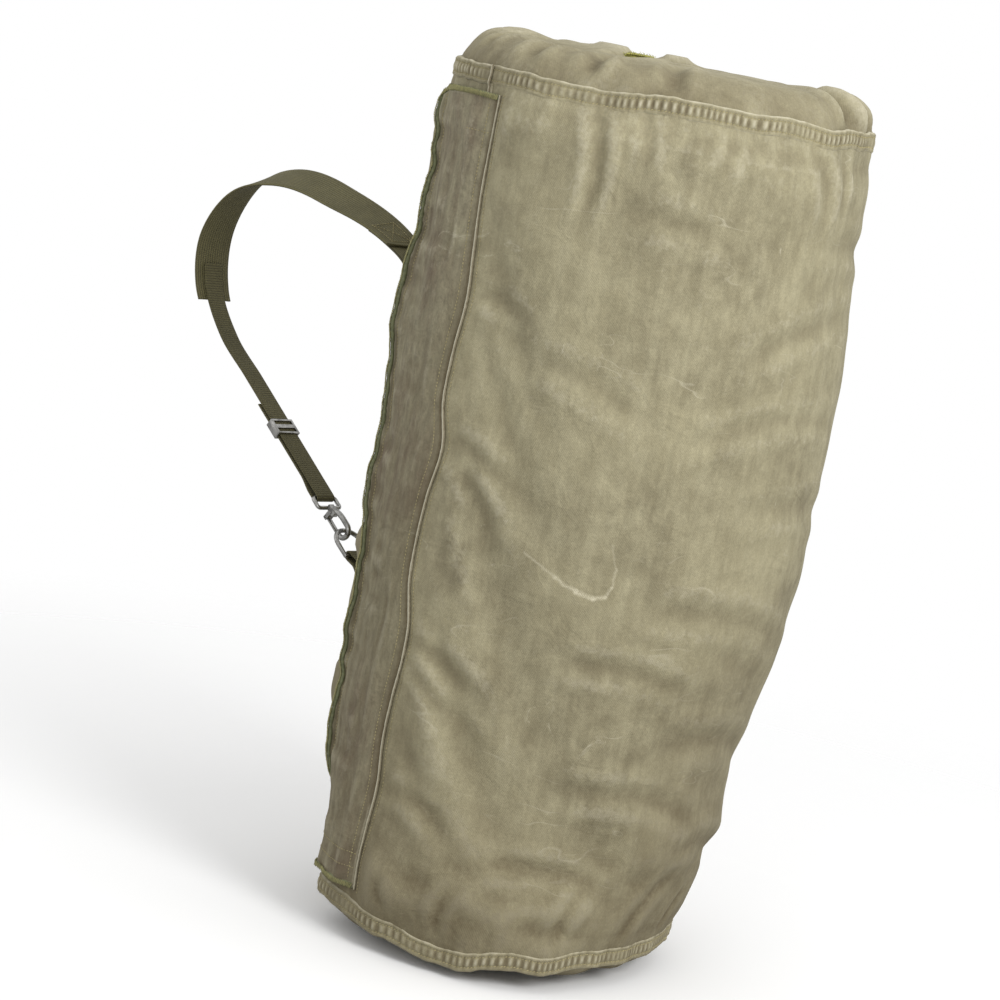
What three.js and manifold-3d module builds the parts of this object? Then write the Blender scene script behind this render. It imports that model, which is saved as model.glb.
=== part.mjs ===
// A large canvas duffel bag: a canvas tube with sewn end panels, a long side zip under a storm flap,
// and one shoulder strap that clips to a D-ring low on the side with a spring snap hook.
// Millimetres, +Z up. The origin is the middle of the flat bottom. The strap reaches towards -X.
import * as THREE from "three";
import { mergeVertices } from "three/addons/utils/BufferGeometryUtils.js";
import Module from "manifold-3d";

const wasm = await Module();
wasm.setup();

// ---- Driving dimensions ----
const GAP = 0.3; // between pieces that touch
const ROUND_SEGMENTS = 72; // around the bag
const HEIGHT_SEGMENTS = 14; // up the bag

const BODY_RADIUS = 216;
const BAG_HEIGHT = 905;
const CANVAS = 2;
const BOTTOM_ROUNDING = 28;
const TOP_ROUNDING = 38;
const BOTTOM_SEAM_Z = 36;
const TOP_SEAM_DROP = 43; // from the top of the bag down to the middle of the top seam
const SEAM_BAND_HEIGHT = 18;
const SEAM_BAND_THICKNESS = 2;

// The canvas is slack on the side away from the zip, where it draws in towards the bottom, and it draws
// in a little all round the top. The zip, the flap and the strap's patches hold their side straight.
const SLACK = 0.27; // the most that it draws in, as a share of the radius
const SLACK_HEIGHT = 430;
const SLACK_FROM_ZIP = [50, 125]; // degrees, where it begins and where it is full
const TOP_TUCK = 0.05;
const TOP_TUCK_HEIGHT = 80;
const TOP_TUCK_FROM_ZIP = [30, 60];

const TAB_WIDTH = 38;
const TAB_HEIGHT = 7;
const TAB_THICKNESS = 2.4;
const TAB_AT = [-29, -24];

const ZIP_AZIMUTH = -22; // degrees round from -Y, towards +X
const ZIP_END_MARGIN = 34; // from a seam's middle to the end of the slit
const SLIT_HALF_WIDTH = 9;
const TAPE_REACH = 20;
const TAPE_THICKNESS = 1.2;
const TEETH_WIDTH = 2.5;
const TEETH_THICKNESS = 3.3;
const TEETH_HALF_GAP = 0.7;
const STOP_LENGTH = 3;
const SLIDER_LENGTH = 14;
const SLIDER_HALF_WIDTH = 6;
const SLIDER_PLATE = 1.2;
const SLIDER_PLAY = 0.4;
const SLIDER_NECK_WIDTH = 0.8;
const SLIDER_NECK_LENGTH = 4;
const LUG_WIDTH = 3;
const LUG_LENGTH = 5;
const LUG_HEIGHT = 3.6;
const LUG_HOLE = 2.4;
const PULL_WIDTH = 8;
const PULL_LENGTH = 24;
const PULL_THICKNESS = 1.4;

const FLAP_HINGE_AZIMUTH = -7;
const FLAP_EDGE_AZIMUTH = -38;
const FLAP_LANDING_AZIMUTH = -14; // where the flap has risen to its stand-off
const FLAP_STANDOFF = 8;
const FLAP_THICKNESS = 2;
const FLAP_SEAM_MARGIN = 17; // from a seam's middle to the end of the flap
const PIPING_RADIUS = 2;
const BINDING_WIDTH = 5;
const BINDING_THICKNESS = 3.2;
const BINDING_CORNER = 2.8;

const STRAP_AZIMUTH = -63;
const PATCH_THICKNESS = 1.5;
const PATCH_HALF_WIDTH = 34;
const STRAP_PATCH_Z = [548, 640];
const RING_PATCH_Z = [268, 336];
const ANCHOR_WEB_WIDTH = 38;
const STRAP_WIDTH = 48;
const STRAP_THICKNESS = 2.2;
const ADJUSTING_WEB_WIDTH = 25;
const ADJUSTING_WEB_THICKNESS = 1.6;
const LOOP_STEPS = 140;
const LAYER_GAP = 1; // between two twisted layers
const STRAP_OVERLAP = 0.05; // share of the loop that two sewn layers share
const ANCHOR_WEB_END = 0.2; // share of the loop where the anchor webbing ends
const STRAP_END = 0.65; // share of the loop where the shoulder strap ends

const PULL_ANGLE = 35; // of the ring, the hook and the adjusting webbing, above level
const RING_BAR_REACH = 26;
const RING_BAR_Z = 343;
const RING_WIRE = 2.5;
const RING_HALF_WIDTH = 18.5;
const RING_STRAIGHT = 16;
const RING_PLAY = 2.2; // between the ring and the inside of the hook's bowl
const CHAPE_WIDTH = 30;
const CHAPE_BOTTOM_Z = 283;

const EYE_WIRE = 2.2;
const EYE_HALF_WIDTH = 15.7;
const EYE_LENGTH = 14;
const EYE_BEND = 3;
const SHANK_LENGTH = 12;
const SHANK_HALF_WIDTH = 3.5;
const SHANK_HALF_HEIGHT = 4.5;
const HOOK_WIRE = 3;
const HOOK_BOWL_U = 45; // from the eye's bar to the middle of the bowl
const HOOK_BOWL_RADIUS = 8;
const HOOK_TIP_LENGTH = 2.5; // straight, after the bowl
const GATE_THICKNESS = 1.8;
const GATE_WIDTH = 5;
const GATE_PIVOT_U = 20;
const GATE_PIVOT_V = 7.4;
const GATE_KNUCKLE = 2.4;
const GATE_PIN = 1.1;
const GATE_PIN_PLAY = 0.3;
const GATE_END_GAP = 1;

const ADJUSTER_AT = 96; // from the eye's bar along the webbing
const ADJUSTER_LENGTH = 20;
const ADJUSTER_BAR = 1.6;
const ADJUSTER_CENTRE_BAR = 2;
const ADJUSTER_PLAY = 0.4;
const TAIL_LENGTH = 134; // from the eye's bar to the free end of the webbing

// ---- Sizes that follow ----
const rad = THREE.MathUtils.degToRad;
const TOP_SEAM_Z = BAG_HEIGHT - TOP_SEAM_DROP;
const INNER_RADIUS = BODY_RADIUS - CANVAS;
const SLIT_Z = [BOTTOM_SEAM_Z + ZIP_END_MARGIN, TOP_SEAM_Z - ZIP_END_MARGIN];
const FLAP_Z = [BOTTOM_SEAM_Z + FLAP_SEAM_MARGIN, TOP_SEAM_Z - FLAP_SEAM_MARGIN];
const TAPE_FACE = Math.hypot(INNER_RADIUS, 0) - TAPE_REACH ** 2 / INNER_RADIUS / 2 - 2 * GAP;
const CHAIN_DEPTH = TAPE_FACE - TAPE_THICKNESS / 2; // radius of the middle of the zip
const RING_DEPTH = RING_STRAIGHT + RING_HALF_WIDTH; // from the ring's bar to its far side
const BOWL_INSIDE = HOOK_BOWL_RADIUS - HOOK_WIRE;
const EYE_TO_RING_BAR = HOOK_BOWL_U + BOWL_INSIDE - RING_WIRE - RING_PLAY + RING_DEPTH;
const WEB_SPACING = ADJUSTER_CENTRE_BAR + 2 * GAP + ADJUSTING_WEB_THICKNESS;

// ---- Materials ----
function cloth(color, roughness = 0.95) {
  return new THREE.MeshStandardMaterial({ color, roughness, metalness: 0 });
}

function metal(color, roughness = 0.35) {
  return new THREE.MeshStandardMaterial({ color, roughness, metalness: 1 });
}

const canvas = cloth(0x8d8668);
const flapCanvas = cloth(0x857d66);
const seamCanvas = cloth(0x9a9272);
const piping = cloth(0xcfc7a8);
const greenThread = cloth(0x75855a);
const webbing = cloth(0x6d6844);
const steel = metal(0xb8b8b4);
const brass = metal(0x9a8350, 0.45);

// ---- Solids ----
// A closed mesh with its shared vertices merged, as a solid that can be cut and joined.
function solidOf(geometry) {
  const bare = geometry.index ? geometry.toNonIndexed() : geometry.clone();
  bare.deleteAttribute("normal");
  bare.deleteAttribute("uv");
  const merged = mergeVertices(bare, 1e-4);
  return new wasm.Manifold(
    new wasm.Mesh({
      numProp: 3,
      vertProperties: merged.attributes.position.array,
      triVerts: new Uint32Array(merged.index.array),
    }),
  );
}

function geometryOf(solid) {
  const made = solid.getMesh();
  const geometry = new THREE.BufferGeometry();
  geometry.setAttribute("position", new THREE.BufferAttribute(made.vertProperties.slice(), 3));
  geometry.setIndex(new THREE.BufferAttribute(made.triVerts.slice(), 1));
  return geometry;
}

function join(...geometries) {
  return geometryOf(geometries.map(solidOf).reduce((a, b) => a.add(b)));
}

function cut(geometry, ...tools) {
  return geometryOf(tools.map(solidOf).reduce((a, b) => a.subtract(b), solidOf(geometry)));
}

// A box from its lowest to its highest corner.
function block(low, high) {
  const size = high.map((value, axis) => value - low[axis]);
  const middle = high.map((value, axis) => (value + low[axis]) / 2);
  return new THREE.BoxGeometry(...size).translate(...middle);
}

// A shape turned about Z. The profile runs from the axis, round the outside and back to the axis.
function turned(profile) {
  return new THREE.LatheGeometry(profile, ROUND_SEGMENTS).rotateX(Math.PI / 2);
}

// Draws a turned shape in where the canvas is slack.
function slacken(geometry) {
  const { smoothstep, radToDeg, euclideanModulo } = THREE.MathUtils;
  const place = geometry.attributes.position;
  for (let i = 0; i < place.count; i += 1) {
    const [x, y, z] = [place.getX(i), place.getY(i), place.getZ(i)];
    const turn = radToDeg(Math.atan2(x, -y)) - ZIP_AZIMUTH;
    const fromZip = Math.abs(euclideanModulo(turn + 180, 360) - 180);
    const low = 1 - smoothstep(z, BOTTOM_SEAM_Z, SLACK_HEIGHT);
    const high = smoothstep(z, TOP_SEAM_Z - TOP_TUCK_HEIGHT, TOP_SEAM_Z);
    const drawnIn = SLACK * low * smoothstep(fromZip, ...SLACK_FROM_ZIP)
      + TOP_TUCK * high * smoothstep(fromZip, ...TOP_TUCK_FROM_ZIP);
    place.setXY(i, x * (1 - drawnIn), y * (1 - drawnIn));
  }
  return geometry;
}

// A plate that is curved about Z, between two azimuths.
function curvedPlate(innerRadius, outerRadius, azimuths, heights) {
  const [start, end] = azimuths.map((azimuth) => rad(azimuth - 90));
  const outline = new THREE.Shape();
  outline.absarc(0, 0, outerRadius, start, end, false);
  outline.absarc(0, 0, innerRadius, end, start, true);
  outline.closePath();
  const segments = Math.max(6, Math.round(((end - start) / (2 * Math.PI)) * ROUND_SEGMENTS));
  return new THREE.ExtrudeGeometry(outline, {
    depth: heights[1] - heights[0],
    bevelEnabled: false,
    curveSegments: segments,
  }).translate(0, 0, heights[0]);
}

// A section swept along points. Each ring's first axis is its side vector, and its second is square to
// that and to the path. The section is a convex outline that turns anticlockwise.
function sweep(points, sides, section, closed = false) {
  const count = points.length;
  const size = section.length;
  const place = [];
  points.forEach((point, i) => {
    const after = points[closed ? (i + 1) % count : Math.min(i + 1, count - 1)];
    const before = points[closed ? (i + count - 1) % count : Math.max(i - 1, 0)];
    const along = after.clone().sub(before).normalize();
    const side = (Array.isArray(sides) ? sides[i] : sides).clone();
    side.addScaledVector(along, -side.dot(along)).normalize();
    const up = along.clone().cross(side);
    for (const [a, b] of section) {
      place.push(...point.clone().addScaledVector(side, a).addScaledVector(up, b).toArray());
    }
  });
  const index = [];
  for (let i = 0; i < (closed ? count : count - 1); i += 1) {
    for (let k = 0; k < size; k += 1) {
      const a = i * size + k;
      const b = i * size + ((k + 1) % size);
      const next = ((i + 1) % count) * size;
      index.push(a, b, next + (b % size), a, next + (b % size), next + (a % size));
    }
  }
  if (!closed) {
    const last = (count - 1) * size;
    for (let k = 1; k < size - 1; k += 1) {
      index.push(0, k + 1, k, last, last + k, last + k + 1);
    }
  }
  const geometry = new THREE.BufferGeometry();
  geometry.setAttribute("position", new THREE.Float32BufferAttribute(place, 3));
  geometry.setIndex(index);
  return geometry;
}

function strip(width, thickness, lift = 0) {
  const [w, t] = [width / 2, thickness / 2];
  return [[-w, lift - t], [w, lift - t], [w, lift + t], [-w, lift + t]];
}

function round(radius, sides = 10) {
  return Array.from({ length: sides }, (_, i) => {
    const angle = (i / sides) * 2 * Math.PI;
    return [radius * Math.cos(angle), radius * Math.sin(angle)];
  });
}

function rod(radius, length, sides = 20) {
  return new THREE.CylinderGeometry(radius, radius, length, sides);
}

function onBag(azimuth, radius, z) {
  return new THREE.Vector3(radius * Math.sin(rad(azimuth)), -radius * Math.cos(rad(azimuth)), z);
}

function piece(name, geometry, material) {
  const mesh = new THREE.Mesh(geometry, material);
  mesh.name = name;
  return mesh;
}

// ---- The canvas body ----
function bodyTube() {
  const [low, high] = [BOTTOM_SEAM_Z + SEAM_BAND_HEIGHT / 2, TOP_SEAM_Z - SEAM_BAND_HEIGHT / 2];
  const between = Array.from(
    { length: HEIGHT_SEGMENTS + 1 },
    (_, i) => low + ((high - low) * i) / HEIGHT_SEGMENTS,
  );
  const heights = [BOTTOM_SEAM_Z, ...between, TOP_SEAM_Z];
  const profile = [
    ...heights.map((z) => new THREE.Vector2(BODY_RADIUS, z)),
    ...heights.reverse().map((z) => new THREE.Vector2(INNER_RADIUS, z)),
    new THREE.Vector2(BODY_RADIUS, BOTTOM_SEAM_Z),
  ];
  const slit = block(
    [-SLIT_HALF_WIDTH, -BODY_RADIUS - 5, SLIT_Z[0]],
    [SLIT_HALF_WIDTH, -BODY_RADIUS / 2, SLIT_Z[1]],
  ).rotateZ(rad(ZIP_AZIMUTH));
  return cut(slacken(turned(profile)), slit);
}

// An end panel: a flat disc with a rounded rim that meets the tube at its seam.
function endPanel(face, seam, rounding) {
  const inwards = Math.sign(seam - face);
  const profile = [];
  const corner = (radius, angle) => new THREE.Vector2(
    BODY_RADIUS - rounding + radius * Math.cos(angle),
    face + inwards * (rounding - radius * Math.sin(angle)),
  );
  const steps = 8;
  profile.push(new THREE.Vector2(0, face));
  for (let i = steps; i >= 0; i -= 1) profile.push(corner(rounding, ((i / steps) * Math.PI) / 2));
  profile.push(new THREE.Vector2(BODY_RADIUS, seam - inwards * GAP));
  profile.push(new THREE.Vector2(INNER_RADIUS, seam - inwards * GAP));
  for (let i = 0; i <= steps; i += 1) {
    profile.push(corner(rounding - CANVAS, ((i / steps) * Math.PI) / 2));
  }
  profile.push(new THREE.Vector2(0, face + inwards * CANVAS));
  return slacken(turned(inwards > 0 ? profile : profile.reverse()));
}

function seamBand(middle) {
  const [inner, outer] = [BODY_RADIUS + GAP, BODY_RADIUS + GAP + SEAM_BAND_THICKNESS];
  const [low, high] = [middle - SEAM_BAND_HEIGHT / 2, middle + SEAM_BAND_HEIGHT / 2];
  const profile = [[outer, low], [outer, high], [inner, high], [inner, low], [outer, low]];
  return slacken(turned(profile.map(([r, z]) => new THREE.Vector2(r, z))));
}

function canvasBody() {
  const group = new THREE.Group();
  group.add(
    piece("main_panel", bodyTube(), canvas),
    piece("bottom_panel", endPanel(0, BOTTOM_SEAM_Z, BOTTOM_ROUNDING), canvas),
    piece("top_panel", endPanel(BAG_HEIGHT, TOP_SEAM_Z, TOP_ROUNDING), canvas),
    piece("bottom_seam_band", seamBand(BOTTOM_SEAM_Z), seamCanvas),
    piece("top_seam_band", seamBand(TOP_SEAM_Z), seamCanvas),
  );
  const tab = piece(
    "top_tab",
    block([-TAB_WIDTH / 2, -TAB_THICKNESS / 2, 0], [TAB_WIDTH / 2, TAB_THICKNESS / 2, TAB_HEIGHT]),
    greenThread,
  );
  tab.position.set(...TAB_AT, BAG_HEIGHT + GAP);
  tab.rotation.z = rad(40);
  group.add(tab);
  return group;
}

// ---- The zip, in a frame whose -Y points out of the bag ----
function zipSlider() {
  const half = TEETH_THICKNESS / 2 + SLIDER_PLAY;
  const plate = half + SLIDER_PLATE;
  const inside = TEETH_HALF_GAP + TEETH_WIDTH + SLIDER_PLAY;
  const slot = TAPE_THICKNESS / 2 + SLIDER_PLAY;
  const z = SLIDER_LENGTH / 2;
  const shell = block([-SLIDER_HALF_WIDTH, -plate, -z], [SLIDER_HALF_WIDTH, plate, z]);
  const channel = block([-inside, -half, -z - 1], [inside, half, z + 1]);
  const tapeSlot = block(
    [-SLIDER_HALF_WIDTH - 1, -slot, -z - 1],
    [SLIDER_HALF_WIDTH + 1, slot, z + 1],
  );
  const neck = block(
    [-SLIDER_NECK_WIDTH / 2, -plate + SLIDER_PLATE / 2, z - SLIDER_NECK_LENGTH],
    [SLIDER_NECK_WIDTH / 2, plate - SLIDER_PLATE / 2, z],
  );
  const lug = block(
    [-LUG_WIDTH / 2, -plate - LUG_HEIGHT, -LUG_LENGTH / 2],
    [LUG_WIDTH / 2, -plate + SLIDER_PLATE / 2, LUG_LENGTH / 2],
  );
  const hole = block(
    [-LUG_WIDTH, -plate - LUG_HOLE - GAP, -LUG_HOLE / 2],
    [LUG_WIDTH, -plate - GAP, LUG_HOLE / 2],
  );
  return cut(join(cut(shell, channel, tapeSlot), neck, lug), hole);
}

// The pull hangs from a bar through the slider's lug. Its origin is the middle of that bar.
function zipPull() {
  const half = PULL_THICKNESS / 2;
  const frame = block([-PULL_WIDTH / 2, -half, -PULL_LENGTH], [PULL_WIDTH / 2, half, half]);
  const window = block(
    [-LUG_WIDTH / 2 - SLIDER_PLAY, -2 * half, -LUG_LENGTH - 2],
    [LUG_WIDTH / 2 + SLIDER_PLAY, 2 * half, -half],
  );
  return cut(frame, window);
}

function zip() {
  const group = new THREE.Group();
  group.rotation.z = rad(ZIP_AZIMUTH);
  const chain = [SLIT_Z[0] + STOP_LENGTH + GAP, SLIT_Z[1] - STOP_LENGTH - GAP];
  for (const [name, side] of [["left", -1], ["right", 1]]) {
    const across = (near, far) => [near * side, far * side].sort((a, b) => a - b);
    const [tapeLow, tapeHigh] = across(TEETH_HALF_GAP + TEETH_WIDTH + GAP, TAPE_REACH);
    const [teethLow, teethHigh] = across(TEETH_HALF_GAP, TEETH_HALF_GAP + TEETH_WIDTH);
    group.add(piece(
      `zip_tape_${name}`,
      block([tapeLow, -TAPE_FACE, SLIT_Z[0] - 6], [tapeHigh, TAPE_THICKNESS - TAPE_FACE, SLIT_Z[1] + 6]),
      webbing,
    ));
    group.add(piece(
      `zip_teeth_${name}`,
      block(
        [teethLow, -CHAIN_DEPTH - TEETH_THICKNESS / 2, chain[0]],
        [teethHigh, -CHAIN_DEPTH + TEETH_THICKNESS / 2, chain[1]],
      ),
      brass,
    ));
  }
  const stopHalfWidth = TEETH_HALF_GAP + TEETH_WIDTH;
  for (const [name, low] of [["top", chain[1] + GAP], ["bottom", SLIT_Z[0]]]) {
    group.add(piece(
      `zip_${name}_stop`,
      block(
        [-stopHalfWidth, -CHAIN_DEPTH - TEETH_THICKNESS / 2, low],
        [stopHalfWidth, -CHAIN_DEPTH + TEETH_THICKNESS / 2, low + STOP_LENGTH],
      ),
      brass,
    ));
  }
  const slider = piece("zip_slider", zipSlider(), brass);
  slider.position.set(0, -CHAIN_DEPTH, chain[1] - GAP - SLIDER_LENGTH / 2);
  const pull = piece("zip_pull", zipPull(), brass);
  const plate = TEETH_THICKNESS / 2 + SLIDER_PLAY + SLIDER_PLATE;
  pull.position.copy(slider.position);
  pull.position.y -= plate + GAP + LUG_HOLE / 2;
  group.add(slider, pull);
  return group;
}

// ---- The storm flap over the zip. It turns about the middle of its piping. ----
const HINGE_RADIUS = BODY_RADIUS + GAP + PIPING_RADIUS;

function flapPlan(startAzimuth) {
  const radius = BODY_RADIUS + FLAP_STANDOFF + FLAP_THICKNESS / 2;
  const clearOfPiping = PIPING_RADIUS + GAP;
  const points = [];
  const landing = 10;
  const start = FLAP_HINGE_AZIMUTH - (clearOfPiping / HINGE_RADIUS) * (180 / Math.PI);
  for (let i = 0; i < landing; i += 1) {
    const share = i / landing;
    const rise = share * share * (3 - 2 * share);
    const azimuth = start + (FLAP_LANDING_AZIMUTH - start) * share;
    points.push(onBag(azimuth, HINGE_RADIUS + (radius - HINGE_RADIUS) * rise, 0));
  }
  const arc = 14;
  for (let i = 0; i <= arc; i += 1) {
    points.push(onBag(FLAP_LANDING_AZIMUTH + (startAzimuth - FLAP_LANDING_AZIMUTH) * (i / arc), radius, 0));
  }
  return points;
}

function stormFlap() {
  const group = new THREE.Group();
  const [low, high] = FLAP_Z;
  const radius = BODY_RADIUS + FLAP_STANDOFF + FLAP_THICKNESS / 2;
  const degreesPerMm = 180 / Math.PI / radius;
  const rim = BINDING_WIDTH + GAP;
  const middle = (low + high) / 2;
  const plan = flapPlan(FLAP_EDGE_AZIMUTH + rim * degreesPerMm);
  plan.forEach((point) => point.setZ(middle));
  group.add(piece(
    "flap_panel",
    sweep(plan, new THREE.Vector3(0, 0, 1), strip(high - low - 2 * rim, FLAP_THICKNESS)),
    flapCanvas,
  ));

  // The binding runs along the top, down the free edge and back along the bottom.
  const half = BINDING_WIDTH / 2;
  const edge = FLAP_EDGE_AZIMUTH + half * degreesPerMm;
  const across = flapPlan(edge + BINDING_CORNER * degreesPerMm);
  const centre = edge + BINDING_CORNER * degreesPerMm;
  const corner = (z, sign) => Array.from({ length: 5 }, (_, i) => {
    const angle = ((i + 1) / 6) * (Math.PI / 2);
    return onBag(
      centre - BINDING_CORNER * Math.sin(angle) * degreesPerMm,
      radius,
      z + sign * BINDING_CORNER * Math.cos(angle),
    );
  });
  const [bottom, top] = [low + half, high - half];
  const down = Array.from({ length: 9 }, (_, i) => onBag(
    edge,
    radius,
    top - BINDING_CORNER + ((bottom - top + 2 * BINDING_CORNER) * i) / 8,
  ));
  const path = [
    ...across.map((point) => point.clone().setZ(top)),
    ...corner(top - BINDING_CORNER, 1),
    ...down,
    ...corner(bottom + BINDING_CORNER, -1).reverse(),
    ...across.map((point) => point.clone().setZ(bottom)).reverse(),
  ];
  const outwards = path.map((point) => new THREE.Vector3(point.x, point.y, 0).normalize());
  group.add(piece(
    "flap_edge_binding",
    sweep(path, outwards, strip(BINDING_THICKNESS, BINDING_WIDTH)),
    greenThread,
  ));
  return group;
}

function flapPiping() {
  const points = FLAP_Z.map((z) => onBag(FLAP_HINGE_AZIMUTH, HINGE_RADIUS, z));
  return piece("flap_piping", sweep(points, new THREE.Vector3(1, 0, 0), round(PIPING_RADIUS)), piping);
}

// The short seam that closes the tube between the flap and the top seam.
function closingSeam() {
  const heights = [FLAP_Z[1] + GAP, TOP_SEAM_Z - SEAM_BAND_HEIGHT / 2 - GAP];
  const half = 4 / BODY_RADIUS * (180 / Math.PI);
  const azimuth = FLAP_HINGE_AZIMUTH - 5;
  return piece(
    "closing_seam",
    curvedPlate(BODY_RADIUS + GAP, BODY_RADIUS + GAP + 1.6, [azimuth - half, azimuth + half], heights),
    seamCanvas,
  );
}

// ---- The shoulder strap, in a frame whose origin is on the bag's surface at the strap's azimuth ----
// +X is the strap's reach away from the bag and +Y is the strap's width.
const OUTWARD = new THREE.Vector3(-Math.sin(rad(STRAP_AZIMUTH)), Math.cos(rad(STRAP_AZIMUTH)), 0);
const ALONG_SURFACE = new THREE.Vector3(-OUTWARD.y, OUTWARD.x, 0);
const PULL = new THREE.Vector3(Math.cos(rad(PULL_ANGLE)), 0, Math.sin(rad(PULL_ANGLE)));
const ABOVE_PULL = new THREE.Vector3(-PULL.z, 0, PULL.x);
const RING_BAR = new THREE.Vector3(RING_BAR_REACH, 0, RING_BAR_Z);
const EYE_BAR = RING_BAR.clone().addScaledVector(PULL, EYE_TO_RING_BAR);
const FOLD_RADIUS = EYE_WIRE + GAP + ADJUSTING_WEB_THICKNESS / 2 + 0.2;
const SEWN_DEPTH = PATCH_THICKNESS + 2 * GAP + STRAP_THICKNESS / 2;

function sewnOn(depth, z, turn = 1) {
  return { at: OUTWARD.clone().multiplyScalar(depth).setZ(z), turn, tilt: 0 };
}

function free(reach, z, turn = 0, tilt = 0) {
  return { at: new THREE.Vector3(reach, 0, z), turn, tilt };
}

// The side vector of a strap: along the bag's surface where it is sewn on, then across the strap, with
// its outer edge lower by the tilt.
function sideOf({ turn, tilt }) {
  const across = new THREE.Vector3(0, Math.cos(rad(tilt)), -Math.sin(rad(tilt)));
  return across.lerp(ALONG_SURFACE, turn).normalize();
}

// A smooth route through guides, between two shares of its length.
function route(guides, from = 0, to = 1, steps = Math.round((to - from) * LOOP_STEPS)) {
  const line = new THREE.CatmullRomCurve3(guides.map((guide) => guide.at), false, "centripetal");
  const lean = new THREE.CatmullRomCurve3(guides.map(sideOf), false, "centripetal");
  const points = [];
  const sides = [];
  for (let i = 0; i <= steps; i += 1) {
    const share = line.getUtoTmapping(from + ((to - from) * i) / steps);
    points.push(line.getPoint(share));
    sides.push(lean.getPoint(share).normalize());
  }
  return { points, sides };
}

// The whole strap loop: up off the bag, over a shoulder, down in front of it and back to the hook's eye.
function loopGuides() {
  const webStart = EYE_BAR.clone().addScaledVector(ABOVE_PULL, FOLD_RADIUS);
  const onWeb = (distance) => {
    const point = webStart.clone().addScaledVector(PULL, distance);
    return free(point.x, point.z);
  };
  return [
    sewnOn(SEWN_DEPTH, 562),
    sewnOn(SEWN_DEPTH + 0.3, 584),
    sewnOn(SEWN_DEPTH + 1.8, 612),
    { at: new THREE.Vector3(15, 3, 648), turn: 0.5, tilt: 0 },
    free(50, 670, 0.1, 8),
    free(132, 694, 0, 20),
    free(226, 703, 0, 24),
    free(287, 680, 0, 18),
    free(321, 627, 0, 8),
    free(315, 572),
    onWeb(230),
    onWeb(170),
    onWeb(100),
    onWeb(30),
    onWeb(0),
  ];
}

// The webbing folds round the eye's bar and comes back beside itself, through the adjuster.
function adjustingWebbing() {
  const { points, sides } = route(loopGuides(), STRAP_END - STRAP_OVERLAP, 1);
  const across = new THREE.Vector3(0, 1, 0);
  const bends = 8;
  for (let i = 1; i <= bends; i += 1) {
    const angle = (i / bends) * Math.PI;
    points.push(
      EYE_BAR.clone()
        .addScaledVector(ABOVE_PULL, FOLD_RADIUS * Math.cos(angle))
        .addScaledVector(PULL, -FOLD_RADIUS * Math.sin(angle)),
    );
  }
  const below = (distance, drop) => EYE_BAR.clone()
    .addScaledVector(PULL, distance)
    .addScaledVector(ABOVE_PULL, FOLD_RADIUS - drop);
  points.push(below(12, 2 * FOLD_RADIUS));
  for (const distance of [32, 70, TAIL_LENGTH]) points.push(below(distance, WEB_SPACING));
  while (sides.length < points.length) sides.push(across);
  return sweep(points, sides, strip(ADJUSTING_WEB_WIDTH, ADJUSTING_WEB_THICKNESS));
}

// Two plates and three bars: over both layers of webbing, between them and under them.
function adjuster() {
  const web = ADJUSTING_WEB_THICKNESS / 2 + ADJUSTER_PLAY;
  const halfWidth = ADJUSTING_WEB_WIDTH / 2 + ADJUSTER_PLAY;
  const outerWidth = halfWidth + 2.2;
  const high = WEB_SPACING / 2 + web + ADJUSTER_BAR;
  const low = -high;
  const x = ADJUSTER_LENGTH / 2;
  const shell = block([-x, -outerWidth, low], [x, outerWidth, high]);
  const inside = block([-x - 1, -halfWidth, low + ADJUSTER_BAR], [x + 1, halfWidth, high - ADJUSTER_BAR]);
  const windows = [-1, 1].map((side) => block(
    [side * x * 0.5 - x * 0.25, -halfWidth, low - 1],
    [side * x * 0.5 + x * 0.25, halfWidth, high + 1],
  ));
  const centreBar = block(
    [-1.6, -outerWidth + 0.5, -ADJUSTER_CENTRE_BAR / 2],
    [1.6, outerWidth - 0.5, ADJUSTER_CENTRE_BAR / 2],
  );
  return join(cut(shell, inside, ...windows), centreBar);
}

function dRing() {
  const points = [
    new THREE.Vector3(0, -RING_HALF_WIDTH, 0),
    new THREE.Vector3(0, 0, 0),
    new THREE.Vector3(0, RING_HALF_WIDTH, 0),
  ];
  const steps = 14;
  for (let i = 0; i <= steps; i += 1) {
    const angle = (i / steps) * Math.PI;
    points.push(new THREE.Vector3(
      RING_STRAIGHT + RING_HALF_WIDTH * Math.sin(angle),
      RING_HALF_WIDTH * Math.cos(angle),
      0,
    ));
  }
  return sweep(points, new THREE.Vector3(0, 0, 1), round(RING_WIRE, 12), true);
}

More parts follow.
